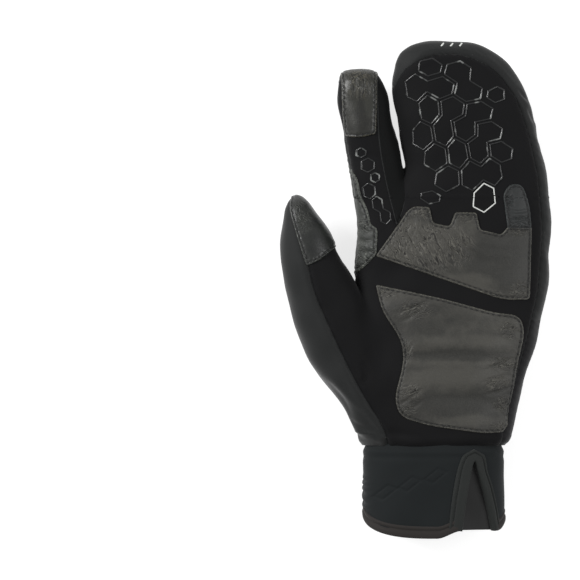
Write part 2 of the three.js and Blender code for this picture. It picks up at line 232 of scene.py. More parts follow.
# Surface nets: every grid cell that the surface passes through gets one point, the mean of its edges'
# crossings, and every crossed edge joins the four cells round it with a quad
def surfaceOf(distance, low, high, step):
    axes = [np.arange(low[i], high[i] + step, step) for i in range(3)]
    shape = tuple(len(axis) for axis in axes)
    grid = np.stack(np.meshgrid(*axes, indexing="ij"), -1)
    value = distance(grid.reshape(-1, 3)).reshape(shape)
    inside = value < 0
    cells = tuple(n - 1 for n in shape)
    total = np.zeros(cells + (3,))
    count = np.zeros(cells)
    crossings = []
    for a in range(3):
        b, c = (a + 1) % 3, (a + 2) % 3
        one = [slice(None)] * 3
        two = [slice(None)] * 3
        one[a], two[a] = slice(0, -1), slice(1, None)
        v1, v2 = value[tuple(one)], value[tuple(two)]
        crossed = inside[tuple(one)] != inside[tuple(two)]
        t = np.where(crossed, v1 / np.where(crossed, v1 - v2, 1), 0)
        point = grid[tuple(one)] + t[..., None] * step * np.eye(3)[a]
        for db in (0, 1):
            for dc in (0, 1):
                part = [slice(None)] * 3
                part[b] = slice(db, db + cells[b])
                part[c] = slice(dc, dc + cells[c])
                hit = crossed[tuple(part)]
                total += point[tuple(part)] * hit[..., None]
                count += hit
        crossings.append((a, b, c, crossed, inside[tuple(one)]))
    used = count > 0
    number = np.full(cells, -1)
    number[used] = np.arange(used.sum())
    points = total[used] / count[used][:, None]
    quads = []
    for a, b, c, crossed, startsInside in crossings:
        at = np.argwhere(crossed)
        at = at[(at[:, b] > 0) & (at[:, c] > 0) & (at[:, b] < cells[b]) & (at[:, c] < cells[c])]
        corners = []
        for db, dc in ((-1, -1), (0, -1), (0, 0), (-1, 0)):
            cell = at.copy()
            cell[:, b] += db
            cell[:, c] += dc
            corners.append(number[tuple(cell.T)])
        quad = np.stack(corners, 1)
        outward = startsInside[tuple(at.T)]
        quads.append(np.where(outward[:, None], quad, quad[:, ::-1]))
    return points, np.concatenate(quads)


def toTriangles(points, quads):
    one = np.linalg.norm(points[quads[:, 0]] - points[quads[:, 2]], axis=1)
    two = np.linalg.norm(points[quads[:, 1]] - points[quads[:, 3]], axis=1)
    short = (one < two)[:, None]
    first = np.where(short, quads[:, [0, 1, 2]], quads[:, [0, 1, 3]])
    second = np.where(short, quads[:, [0, 2, 3]], quads[:, [1, 2, 3]])
    return np.concatenate([first, second])


# Outlines seen from above, in x and y: corner points and the radius that rounds each one
outlines = dict(
    palm=[
        (-15.8, 36, 0), (-16, 57, 8), (-31, 81, 12), (-42, 103, 12), (-56, 134, 10), (-61, 160, 8),
        (-60, 179, 4), (-52, 184, 0), (-38, 150, 3), (-33, 141, 3), (-32, 165, 12), (-33.4, 190, 12),
        (-40.6, 225, 10), (-43, 246, 4), (-36, 257, 4), (-22, 257, 4), (-21.6, 240, 5), (-20.8, 217, 12),
        (-16.5, 192, 12), (-10.5, 168, 4), (-6.2, 180, 6), (-6.6, 205, 10), (-13, 226, 10), (-14, 240, 6),
        (-8, 253, 6), (5, 261.8, 9), (24, 263.6, 10), (45, 254.4, 12), (57, 234, 14), (66.4, 200, 20),
        (69.2, 165, 20), (66.4, 132, 20), (56, 92, 20), (46, 50, 6), (45, 36, 0),
    ],
    backPanel=[
        (95, 36, 0), (95, 114, 0), (69, 133, 6), (69.4, 163, 10), (4, 165.6, 14), (-13, 158.6, 10),
        (-27, 141, 4), (-31, 128, 6), (-34, 108, 6), (-35.5, 90, 8), (-33.5, 70, 8), (-27, 36, 0),
    ],
    sidePanel=[(30, 0, 0), (95, 0, 0), (95, 118, 0), (30, 118, 0)],
    thumb=[
        (-90, 36, 0), (-8, 36, 0), (-12, 70, 0), (-20, 128, 4), (-31, 133, 3), (-35.5, 139, 2),
        (-38, 150, 3), (-44, 165, 0), (-55, 205, 0), (-90, 205, 0),
    ],
    forkPalm=[
        (-20.8, 256, 0), (-20.2, 217, 12), (-15.9, 192, 12), (-10.4, 170, 2), (-6.4, 182, 6), (-4.2, 200, 10),
        (-8.6, 234, 8), (-10.6, 243, 3), (-15, 246.5, 2), (-17, 256, 0),
    ],
    forkBack=[
        (-15, 248, 0), (-11.5, 222, 12), (-7.5, 198, 6), (-2.2, 186, 4), (3.4, 193, 6), (3.4, 212, 12),
        (0.4, 235, 12), (-5.6, 251, 8), (-11.5, 264, 0), (-16, 266, 0),
    ],
    upperLeather=[
        (-22, 153, 1), (-4.5, 178, 3), (-1, 180, 1.5), (7.2, 179.6, 1.5), (9, 171, 2), (18, 169, 2),
        (21, 176.8, 1.5), (32.6, 176.6, 1.5), (34.4, 167.3, 2), (46, 164.6, 2), (49, 168.6, 1),
        (62.3, 168.6, 1), (62, 145, 8), (61, 129.4, 2), (47, 129.2, 6),
    ],
    littleFinger=[
        (49.2, 167.4, 1), (47, 187, 3), (51, 192.2, 3), (57.6, 192, 4), (61.6, 180, 8), (62.2, 167.4, 1),
    ],
    lowerLeather=[
        (-22, 137.6, 1.5), (14, 130, 8), (42, 122.4, 6), (56, 121, 6), (58.3, 112, 5), (53, 87, 10),
        (49, 58, 4), (38, 56.8, 6), (7, 61, 8), (-9, 66, 6), (-12, 76, 6), (-7, 95, 8), (-8, 107, 8),
        (-19, 124, 6),
    ],
    sidePalm=[
        (-60, 200, 0), (-36, 201, 0), (-31, 196, 4), (-29.4, 185, 4), (-26, 177, 3), (-24.5, 170, 2),
        (-21, 168, 2), (-21.4, 154, 2), (-27, 148.6, 3), (-33, 142.4, 2), (-60, 134, 0),
    ],
    sideBack=[
        (-60, 212, 0), (-39, 214, 3), (-33.6, 218.4, 3), (-27.5, 212, 4), (-26.3, 204, 4), (-31, 197.6, 3),
        (-31, 189, 3), (-25, 180, 4), (-23.6, 160, 8), (-24.3, 139.6, 4), (-34, 129, 3), (-60, 120, 0),
    ],
    thumbCrotch=[
        (-37, 127, 4), (-47, 119.6, 4), (-56, 121, 4), (-63.5, 131, 5), (-63, 146, 6), (-57, 158, 5),
        (-47, 163, 3), (-28, 163, 0), (-28, 127, 0),
    ],
    thumbTip=[
        (-66, 195, 0), (-68.8, 179, 3), (-65.5, 166, 6), (-59.6, 147.4, 1.5), (-51, 151.6, 8),
        (-38, 163, 0), (-38, 195, 0),
    ],
    indexTip=[
        (-38.6, 218.6, 1.5), (-31, 217, 8), (-21.8, 219.4, 1.5), (-21.2, 244, 6), (-21.6, 264, 0),
        (-40.6, 264, 0), (-40.6, 246, 6),
    ],
    indexTipBack=[(-42, 244, 0), (-31, 245.5, 8), (-20.4, 244, 0), (-20.4, 264, 0), (-42, 264, 0)],
)


# each rounded corner becomes a quadratic curve between points `round` before and after it
def roundedOutline(corners, steps=7):
    corners = np.array(corners, float)
    result = []
    for i, (x, y, rounding) in enumerate(corners):
        here = np.array([x, y])
        if not rounding:
            result.append(here[None])
            continue
        toBefore = corners[i - 1, :2] - here
        toAfter = corners[(i + 1) % len(corners), :2] - here
        start = here + toBefore * min(rounding / np.linalg.norm(toBefore), 0.45)
        end = here + toAfter * min(rounding / np.linalg.norm(toAfter), 0.45)
        t = np.linspace(0, 1, steps)[:, None]
        result.append((1 - t) ** 2 * start + 2 * t * (1 - t) * here + t * t * end)
    return np.concatenate(result)


# distance to the nearest side of a closed outline, positive inside, and how far along it that point is
def insideOutline(name, points):
    ring = roundedOutline(outlines[name])
    start, side = ring, np.roll(ring, -1, 0) - ring
    length = np.linalg.norm(side, axis=1)
    before = np.concatenate([[0], np.cumsum(length)[:-1]])
    depth = np.empty(len(points))
    along = np.empty(len(points))
    for first in range(0, len(points), 20000):
        xy = points[first : first + 20000, None, :2] - start[None]
        t = np.clip((xy * side).sum(2) / (length**2 + 1e-12), 0, 1)
        away = np.linalg.norm(xy - t[..., None] * side, axis=2)
        nearest = away.argmin(1)
        rows = np.arange(len(nearest))
        rises = (xy[..., 1] >= 0) != (xy[..., 1] - side[None, :, 1] >= 0)
        slant = xy[..., 0] - side[:, 0] * xy[..., 1] / np.where(side[:, 1] == 0, 1e-12, side[:, 1])
        within = (rises & (slant < 0)).sum(1) % 2 == 1
        depth[first : first + 20000] = away[rows, nearest] * np.where(within, 1, -1)
        along[first : first + 20000] = before[nearest] + t[rows, nearest] * length[nearest]
    return depth, along


def mix(a, b, share):
    return a + (b - a) * share


# How far a point lies inside each panel; the panels are cut from the mitt in this order
def panelDepths(points):
    z = points[:, 2]
    high = smoothStep(splitHeight - 5, splitHeight + 5, z)
    palm = np.minimum(insideOutline("palm", points)[0], z - splitHeight)
    fork = mix(insideOutline("forkBack", points)[0], insideOutline("forkPalm", points)[0], high)
    backPanel = mix(insideOutline("backPanel", points)[0], insideOutline("sidePanel", points)[0], high)
    thumb = insideOutline("thumb", points)[0]
    return dict(palm=palm, fork=fork, backPanel=backPanel, thumb=thumb)


# Each triangle that a level of one value crosses becomes a triangle and a quad, cut in two
def cutMesh(mesh, name, level=0.0):
    points, triangles, values = mesh["points"], mesh["triangles"], mesh["values"]
    value = values[name] - level
    positive = value > 0
    sides = positive[triangles]
    mixed = (sides.sum(1) % 3) != 0
    kept = triangles[~mixed]
    crossed = triangles[mixed]
    signs = sides[mixed]
    loneIsPositive = signs.sum(1) == 1
    lone = np.where(loneIsPositive, signs.argmax(1), (~signs).argmax(1))
    rows = np.arange(len(crossed))
    a, b, c = (crossed[rows, (lone + k) % 3] for k in range(3))
    edges = np.sort(np.concatenate([np.stack([a, b], 1), np.stack([a, c], 1)]), axis=1)
    unique, where = np.unique(edges, axis=0, return_inverse=True)
    where = where.reshape(-1)
    v1, v2 = value[unique[:, 0]], value[unique[:, 1]]
    t = np.clip(v1 / (v1 - v2), 0.02, 0.98)
    added = points[unique[:, 0]] * (1 - t)[:, None] + points[unique[:, 1]] * t[:, None]
    newValues = {
        key: np.concatenate([v, v[unique[:, 0]] * (1 - t) + v[unique[:, 1]] * t]) for key, v in values.items()
    }
    newValues[name][len(points) :] = level
    ab = where[: len(a)] + len(points)
    ac = where[len(a) :] + len(points)
    pieces = [kept, np.stack([a, ab, ac], 1), np.stack([ab, b, c], 1), np.stack([ab, c, ac], 1)]
    sign = [positive[kept[:, 0]], loneIsPositive, ~loneIsPositive, ~loneIsPositive]
    made = dict(points=np.concatenate([points, added]), triangles=np.concatenate(pieces), values=newValues)
    return made, np.concatenate(sign)


# the chosen triangles with only the points that they use
def keepTriangles(mesh, chosen):
    triangles = mesh["triangles"][chosen]
    used, renumbered = np.unique(triangles, return_inverse=True)
    values = {key: v[used] for key, v in mesh["values"].items()}
    return dict(points=mesh["points"][used], triangles=renumbered.reshape(-1, 3), values=values)


# the mesh's part where a value is positive, and the rest
def splitMesh(mesh, name):
    made, positive = cutMesh(mesh, name)
    return keepTriangles(made, positive), keepTriangles(made, ~positive)


def addLines(mesh, name, levels):
    for level in levels:
        mesh, _ = cutMesh(mesh, name, level)
    return mesh


# every triangle becomes four, and the new points are moved onto the mitt's surface
def refine(mesh):
    points, triangles = mesh["points"], mesh["triangles"]
    edges = np.sort(np.concatenate([triangles[:, [0, 1]], triangles[:, [1, 2]], triangles[:, [2, 0]]]), axis=1)
    unique, where = np.unique(edges, axis=0, return_inverse=True)
    where = where.reshape(-1) + len(points)
    n = len(triangles)
    ab, bc, ca = where[:n], where[n : 2 * n], where[2 * n :]
    a, b, c = triangles.T
    middle = settle((points[unique[:, 0]] + points[unique[:, 1]]) / 2, 1)
    fine = [np.stack(corner, 1) for corner in ((a, ab, ca), (ab, b, bc), (ca, bc, c), (ab, bc, ca))]
    return dict(points=np.concatenate([points, middle]), triangles=np.concatenate(fine), values={})


# Folds, face by face: a quadratic curve over three points, with its width and its depth (a ridge is negative)
folds = [
    ("palm", [
        (-24, 148, 14, 140, 60, 122, 6.5, 1.7),  # the flexing band between the two leathers
        (-30, 96, -27, 88, -31, 84, 2.2, 1.3),  # crease at the root of the thumb
        (-27, 104, -22, 92, -26, 80, 4.5, 0.9),
        (-42, 96, -30, 78, -22, 66, 3.0, -0.7),
        (-50, 85, -42, 77, -34, 65, 1.8, 0.9),  # wrinkles where the thumb runs into the wrist
        (-46, 88, -37, 77, -26, 68, 2.0, -0.6),
        (-38, 66, -31, 61, -23, 58, 1.5, 0.8),
        (-36, 60, -29, 56, -18, 53, 1.4, -0.4),
        (-33, 66, -24, 60, -13, 50, 2.4, 0.7),
        (-30, 72, -20, 66, -12, 58, 2.0, -0.5),
        (-24, 54, -12, 57, 6, 53, 2.2, 0.6),
        (-6, 104, 22, 107, 52, 103, 3.6, -0.9),  # soft ridges and dents across the lower leather
        (-8, 98, 22, 99, 50, 96, 3.0, 0.8),
        (-8, 82, 20, 85, 50, 80, 5.0, -0.7),
        (-6, 73, 20, 76, 48, 72, 3.4, 0.6),
        (-10, 72, -4, 76, 4, 82, 1.0, 0.6),
        (-9, 68, -2, 71, 4, 76, 0.9, 0.5),
        (36, 91, 45, 94.5, 55, 98, 1.2, 0.6),
        (35, 84.5, 43, 87, 50, 88.5, 1.0, 0.5),
        (37, 78, 44, 80, 51, 82.5, 1.0, 0.6),
        (40, 70, 46, 71.5, 52, 73, 1.0, 0.4),
        (46, 116, 52, 114, 57, 109, 1.2, 0.6),
        (-12, 122, -2, 125, 8, 129, 1.2, 0.6),
        (-9, 118, -3, 120, 4, 125, 1.0, 0.45),
        (-8, 96, -5, 101, -2, 106, 1.0, 0.5),
        (-10, 172, -2, 160, 6, 146, 1.3, 0.55),  # long wrinkles down the upper leather
        (-2, 172, 6, 160, 12, 146, 1.2, 0.6),
        (5, 168, 12, 155, 17, 143, 1.2, 0.5),
        (18, 171, 24, 160, 34, 152, 1.6, 0.7),
        (12, 168, 18, 157, 25, 148, 1.3, 0.45),
        (-16, 162, -9, 154, -4, 147, 1.2, 0.5),
        (12, 158, 34, 150, 58, 150, 3.4, 0.6),
        (20, 166, 38, 160, 60, 160, 2.4, -0.4),
        (48, 175, 54, 173.6, 62, 175, 0.9, 0.7),
        (48, 178, 55, 177, 62, 178.5, 0.9, 0.5),
        (4, 196, 24, 204, 52, 192, 6.0, 0.8),
        (10, 226, 30, 234, 48, 222, 7.0, -0.7),
    ]),
    ("side", [
        (54.5, 243, 58, 240, 60.5, 236.5, 1.1, 0.9),
        (58, 240, 60, 236, 61.5, 232, 1.6, -0.5),
        (60, 233, 62.5, 229.5, 64.5, 225, 1.2, 1.0),
        (64, 224, 66, 220, 68, 214, 1.6, 0.6),
        (72, 172, 71, 160, 73, 150, 2.0, 0.7),
        (70, 156, 71, 146, 71, 134, 1.8, -0.5),
        (66, 126, 66, 118, 63, 108, 2.0, 0.6),
    ]),
    ("palm", [
        (-36, 172, -31, 168, -25, 166, 1.6, 0.8),  # wrinkles of the leather beside the index finger
        (-35, 164, -29, 161, -22, 162, 1.5, 0.7),
        (-34, 157, -28, 155, -22, 156, 1.5, 0.6),
        (-31, 205, -24, 207, -16, 204, 2.4, 0.6),
        (-39, 240, -31, 238, -21, 241, 3.5, 0.6),
        (-34, 252, -33, 247, -34, 241, 1.0, 0.4),
        (-29, 253, -28.5, 247, -29, 240, 1.0, 0.45),
        (-25, 252, -25, 246, -24, 241, 0.9, 0.35),
        (-52, 128, -46, 118, -41, 108, 4.0, 0.6),
        (-62, 158, -57, 150, -50, 152, 1.6, 0.35),
    ]),
    ("back", [
        (34, 132, 44, 114, 54, 88, 6.0, -0.9),
        (40, 134, 50, 116, 58, 94, 4.0, 0.6),
        (-20, 60, 2, 66, 22, 62, 5.0, 0.7),
        (0, 110, 10, 96, 12, 78, 7.0, 0.5),
        (-34, 120, -36, 104, -37, 84, 2.6, 1.2),  # the seam between thumb and back of the hand
        (-44, 92, -38, 80, -34, 64, 3.0, 0.8),
        (-30, 138, -20, 150, -8, 160, 8.0, 0.5),
        (-2, 180, -14, 170, -22, 160, 5.0, 0.6),
        (-58, 140, -54, 134, -48, 130, 1.6, 0.8),
        (-60, 150, -54, 147, -47, 150, 1.8, 0.7),
        (-50, 140, -46, 146, -40, 150, 1.8, 0.6),
    ]),
]


def curveThrough(x1, y1, x2, y2, x3, y3, steps):
    t = np.linspace(0, 1, steps)[:, None]
    a, b, c = np.array([(x1, y1), (x2, y2), (x3, y3)])
    control = 2 * b - (a + c) / 2
    return (1 - t) ** 2 * a + 2 * t * (1 - t) * control + t * t * c


# nearest distance to an open line and the share of its length at which that lies
def nearLine(line, points, closeTo=40.0):
    start, side = line[:-1], np.diff(line, axis=0)
    length = np.linalg.norm(side, axis=1)
    before = np.concatenate([[0], np.cumsum(length)])
    away = np.full(len(points), closeTo)
    share = np.zeros(len(points))
    box = np.all((points > line.min(0) - closeTo) & (points < line.max(0) + closeTo), axis=1)
    if box.any():
        xy = points[box][:, None] - start[None]
        t = np.clip((xy * side).sum(2) / length**2, 0, 1)
        gap = np.linalg.norm(xy - t[..., None] * side, axis=2)
        nearest = gap.argmin(1)
        rows = np.arange(len(nearest))
        away[box] = gap[rows, nearest]
        share[box] = (before[nearest] + t[rows, nearest] * length[nearest]) / before[-1]
    return away, share


# a fold is a bell across its line that dies out towards its two ends
def foldRelief(points, facing):
    xy, total = points[:, :2], np.zeros(len(points))
    masks = dict(
        palm=smoothStep(0.05, 0.45, facing[:, 2]),
        back=smoothStep(0.05, 0.45, -facing[:, 2]),
        side=smoothStep(-0.5, 0.0, facing[:, 2]) * smoothStep(0.98, 0.7, facing[:, 2]),
    )
    for face, curves in folds:
        for *corners, width, depth in curves:
            away, share = nearLine(curveThrough(*corners, 14), xy, 3.5 * width)
            fade = np.clip(np.sin(np.pi * np.clip(share, 0.02, 0.98)), 0, 1) ** 0.6
            total -= depth * fade * bell(away, width) * masks[face]
    return total


# slow swells of the filling: a few waves of different length and direction
swells = dict(seed=5, waves=9, shortest=16.0, longest=52.0, height=0.2)


def swellRelief(points):
    chance = np.random.default_rng(swells["seed"])
    total = np.zeros(len(points))
    for _ in range(swells["waves"]):
        direction = unit(chance.normal(size=3))
        length = chance.uniform(swells["shortest"], swells["longest"])
        total += np.sin(2 * np.pi * (points @ direction) / length + chance.uniform(0, 6.28))
    return total * swells["height"] * np.sqrt(length / swells["longest"])


# a seam is a narrow groove between two soft swells, puckered along its length
seam = dict(depth=0.75, width=0.75, swell=0.4, swellAt=2.6, swellWidth=1.8, pucker=0.14, puckerLength=5.2)


def seamRelief(depth, along):
    away = np.abs(depth)
    groove = -seam["depth"] * bell(away, seam["width"])
    swell = seam["swell"] * bell(away - seam["swellAt"], seam["swellWidth"])
    wander = along + 1.7 * np.sin(along / 9.0) + 1.1 * np.sin(along / 3.7 + 1)
    pucker = seam["pucker"] * np.sin(2 * np.pi * wander / seam["puckerLength"]) * np.exp(-away / 3.0)
    return groove + swell + pucker


pipingPath = dict(
    points=[
        (66.2, 130.5), (69.0, 138), (70.6, 146), (70.6, 155), (68.6, 162), (63.5, 166.2), (55, 167.2),
        (36, 167.6), (15, 167.8), (4, 167.2), (-5.5, 163.8), (-14.5, 157), (-22, 149.5), (-25.0, 146.2),
    ],
    radius=1.45,
)
sunkFor = dict(depth=1.75, width=7.5)  # the back is pulled in along the piping, which stays off the table
atWrist = dict(groove=0.8, width=1.2, swell=0.3, swellAt=3, swellWidth=2.2)
quietSeams = dict(  # the palm's seam is flatter beside the fork and flat under the fingertips' pads
    fork=dict(x=-11, reach=(15, 9), y=(172, 184), share=0.85),
    pads=[dict(y=(216, 221), x=(-14, -18)), dict(y=(148, 155), x=(-46, -50))],
)
forkSeamShares = (0.9, 0.05)  # how much of its relief the fork's seam has towards the back and the palm


def runAlong(line):
    return np.concatenate([[0], np.cumsum(np.linalg.norm(np.diff(line, axis=0), axis=1))])


# smooth curve through the corners, as evenly spaced points
def smoothLine(corners, count):
    corners = np.array(corners, float)
    length = runAlong(corners)
    read = smoothTable(np.column_stack([length, corners]))
    dense = read(np.linspace(0, length[-1], 12 * count))
    length = runAlong(dense)
    even = np.linspace(0, length[-1], count)
    return np.stack([np.interp(even, length, dense[:, k]) for k in range(dense.shape[1])], 1)


# everything that lifts or sinks the cloth along its normal
def reliefOf(points, facing):
    z = points[:, 2]
    total = foldRelief(points, facing) + swellRelief(points)
    depths = panelDepths(points)
    high = smoothStep(splitHeight - 5, splitHeight + 5, z)
    outside = smoothStep(1.5, -1.5, depths["palm"])
    fork = quietSeams["fork"]
    quiet = smoothStep(*fork["reach"], np.abs(points[:, 0] - fork["x"])) * smoothStep(*fork["y"], points[:, 1])
    quiet = fork["share"] * quiet
    for pad in quietSeams["pads"]:
        quiet = np.maximum(quiet, smoothStep(*pad["y"], points[:, 1]) * smoothStep(*pad["x"], points[:, 0]))
    total += seamRelief(depths["palm"], points[:, 0] + points[:, 1]) * (1 - quiet)
    forkSeam = seamRelief(depths["fork"], points[:, 0] + points[:, 1]) * outside
    total += forkSeam * smoothStep(170, 176, points[:, 1]) * mix(*forkSeamShares, high)
    line = smoothLine(pipingPath["points"], 60)
    away, _ = nearLine(line, points[:, :2], 30)
    below = smoothStep(splitHeight - 1, splitHeight - 6, z)
    total -= sunkFor["depth"] * bell(away, sunkFor["width"]) * below
    atThumb = depths["backPanel"]
    total += 0.6 * seamRelief(atThumb, points[:, 1]) * outside * smoothStep(10, 24, away)
    rolled = np.clip(points[:, 1] - wristAt, 0, None)
    total -= atWrist["groove"] * bell(rolled, atWrist["width"])
    total += atWrist["swell"] * bell(rolled - atWrist["swellAt"], atWrist["swellWidth"])
    # what lies on the table stays on it
    room = np.clip(-facing[:, 2], 0, 1) * smoothStep(1.2, 0.0, z)
    return np.where(total > 0, total * (1 - room), total)


def facingOf(points):
    return unit(gradientOf(mittDistance, points))


# Puts whole arrays into a mesh object
def makeObject(name, points, faces, weld=0.0, inset=None):
    mesh = bpy.data.meshes.new(name)
    points = (np.asarray(points) + toOrigin) * mm
    faces = np.asarray(faces)
    size = faces.shape[1]
    mesh.vertices.add(len(points))
    mesh.vertices.foreach_set("co", points.astype(np.float32).ravel())
    mesh.loops.add(faces.size)
    mesh.loops.foreach_set("vertex_index", faces.astype(np.int32).ravel())
    mesh.polygons.add(len(faces))
    mesh.polygons.foreach_set("loop_start", np.arange(0, faces.size, size, dtype=np.int32))
    mesh.update(calc_edges=True)
    mesh.validate()
    if inset is not None:
        mesh.attributes.new("inset", "FLOAT", "POINT").data.foreach_set("value", inset.astype(np.float32))
    if weld:
        bm = bmesh.new()
        bm.from_mesh(mesh)
        bmesh.ops.remove_doubles(bm, verts=bm.verts, dist=weld * mm)
        bm.to_mesh(mesh)
        bm.free()
    mesh.shade_smooth()
    made = bpy.data.objects.new(name, mesh)
    bpy.context.collection.objects.link(made)
    return made


# a sheet's copy further in along the known facings, and a rim along each edge that only one triangle has
def walled(points, facing, triangles, thickness):
    edges = np.concatenate([triangles[:, [0, 1]], triangles[:, [1, 2]], triangles[:, [2, 0]]])
    n = len(points)
    shared = np.isin(edges[:, 0] * n + edges[:, 1], edges[:, 1] * n + edges[:, 0])
    a, b = edges[~shared].T
    rim = np.concatenate([np.stack([b, a, a + n], 1), np.stack([b, a + n, b + n], 1)])
    both = np.concatenate([points, points - facing * thickness])
    return both, np.concatenate([triangles, triangles[:, ::-1] + n, rim])


def solidify(piece, thickness):
    wall = piece.modifiers.new("wall", "SOLIDIFY")
    wall.thickness = thickness * mm
    wall.offset = -1
    wall.use_even_offset = False
    return piece


def dress(piece, material, slot, *nodes):
    piece.data.materials.clear()
    piece.data.materials.append(material)
    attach(piece, "root")
    if nodes:
        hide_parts(*nodes)
    return piece


# A socket with the operators that shader maths needs
class Value:
    def __init__(self, paint, socket):
        self.paint, self.socket = paint, socket

    def math(self, operation, *others):
        return self.paint.node("ShaderNodeMath", {"operation": operation}, [self, *others])

    def __add__(self, other):
        return self.math("ADD", other) if not (isinstance(other, float) and other == 0) else self

    def __sub__(self, other):
        return self.math("SUBTRACT", other)

    def __rsub__(self, other):
        return self.paint.node("ShaderNodeMath", {"operation": "SUBTRACT"}, [other, self])

    def __mul__(self, other):
        return self.math("MULTIPLY", other)

    __radd__ = __add__
    __rmul__ = __mul__

    def clamped(self):
        return self.paint.node("ShaderNodeClamp", {}, [self])

    def between(self, low, high):
        inputs = {"Value": self, "From Min": low, "From Max": high}
        return self.paint.node("ShaderNodeMapRange", {"interpolation_type": "SMOOTHSTEP"}, inputs)


# A material's node tree, with the one method that makes any node
class Paint:
    def __init__(self, name):
        self.material = bpy.data.materials.new(name)
        self.material.use_nodes = True
        self.tree = self.material.node_tree
        self.shader = self.tree.nodes["Principled BSDF"]

    def link(self, target, value):
        if isinstance(value, Value):
            self.tree.links.new(value.socket, target)
        elif isinstance(value, tuple) and target.type == "RGBA":
            target.default_value = (*value, 1.0)
        else:
            target.default_value = value

    def node(self, kind, settings, inputs, output=0):
        made = self.tree.nodes.new(kind)
        for key, value in settings.items():
            setattr(made, key, value)
        pairs = inputs.items() if isinstance(inputs, dict) else enumerate(inputs)
        for key, value in pairs:
            self.link(made.inputs[key], value)
        return Value(self, made.outputs[output])

    # millimetres, turned about z and then drawn out along the axes whose stretch is small
    def place(self, stretch=(1, 1, 1), turn=0.0):
        here = self.node("ShaderNodeTexCoord", {}, {}, "Object")
        inputs = {"Vector": here, "Rotation": (0, 0, turn), "Scale": tuple(mm / s for s in stretch)}
        return self.node("ShaderNodeMapping", {"vector_type": "TEXTURE"}, inputs)

    # noise whose features are about `size` millimetres
    def noise(self, size, detail=2.0, rough=0.5, stretch=(1, 1, 1), turn=0.0, twist=0.0):
        inputs = {"Vector": self.place(stretch, turn), "Scale": 1.0 / size, "Detail": detail}
        inputs.update({"Roughness": rough, "Distortion": twist})
        return self.node("ShaderNodeTexNoise", {}, inputs)

    def cells(self, size):
        inputs = {"Vector": self.place(), "Scale": 1.0 / size}
        return self.node("ShaderNodeTexVoronoi", {}, inputs, "Distance")

    # 1 at a spot (x and y from the hem in millimetres), fading to 0 at its reach across and along
    def spot(self, x, y, across, along):
        here = self.node("ShaderNodeTexCoord", {}, {}, "Object")
        scale = (1 / (across * mm), 1 / (along * mm), 0.0)
        back = (-float(x + toOrigin[0]) / across, -float(y + toOrigin[1]) / along, 0.0)
        moved = self.node("ShaderNodeVectorMath", {"operation": "MULTIPLY_ADD"}, [here, scale, back])
        away = self.node("ShaderNodeVectorMath", {"operation": "LENGTH"}, [moved], "Value")
        return 1 - away.between(0.25, 1.0)

    def blend(self, share, first, second):
        colours = {0: share, 6: first, 7: second}  # factor, A and B of a mix of colours
        return self.node("ShaderNodeMix", {"data_type": "RGBA"}, colours, 2)

    def bump(self, height, depth):
        return self.node("ShaderNodeBump", {}, {"Height": height, "Distance": depth * mm, "Strength": 1.0})

    def finish(self, **sockets):
        for name, value in sockets.items():
            self.link(self.shader.inputs[name.replace("_", " ")], value)
        return self.material


def linear(*rgb):
    c = np.array(rgb, float) / 255
    return tuple(float(v) for v in np.where(c <= 0.04045, c / 12.92, ((c + 0.055) / 1.055) ** 2.4))


# Woven shell cloth: a fine grain of threads, slow changes of tone and a soft sheen
def clothMaterial(name, dark, light, roughness, sheen=0.25, grain=0.55, depth=0.05, below=None):
    paint = Paint(name)
    tone = paint.noise(26, 3, 0.55)
    thread = paint.noise(grain, 2, 0.7)
    rib = paint.noise(grain * 0.9, 1, 0.5, stretch=(1, 0.22, 1))
    share = (tone * 0.75 + thread * 0.45 - 0.1).clamped()
    height = thread * 0.6 + rib * 0.5 + paint.noise(3.5, 2) * 0.5
    paint.shader.inputs["Sheen Weight"].default_value = sheen
    paint.shader.inputs["Sheen Roughness"].default_value = 0.45
    paint.shader.inputs["Specular IOR Level"].default_value = 0.1
    colour = paint.blend(share, linear(*dark), linear(*light))
    if below:  # another tone on the half towards the back
        here = paint.node("ShaderNodeTexCoord", {}, {}, "Object")
        high = paint.node("ShaderNodeSeparateXYZ", {}, [here], "Z")
        colour = paint.blend(high.between(13 * mm, 24 * mm), linear(*below), colour)
    return paint.finish(
        Base_Color=colour,
        Roughness=(roughness + 0.12 * (thread - 0.5)).clamped(),
        Normal=paint.bump(height, depth),
    )


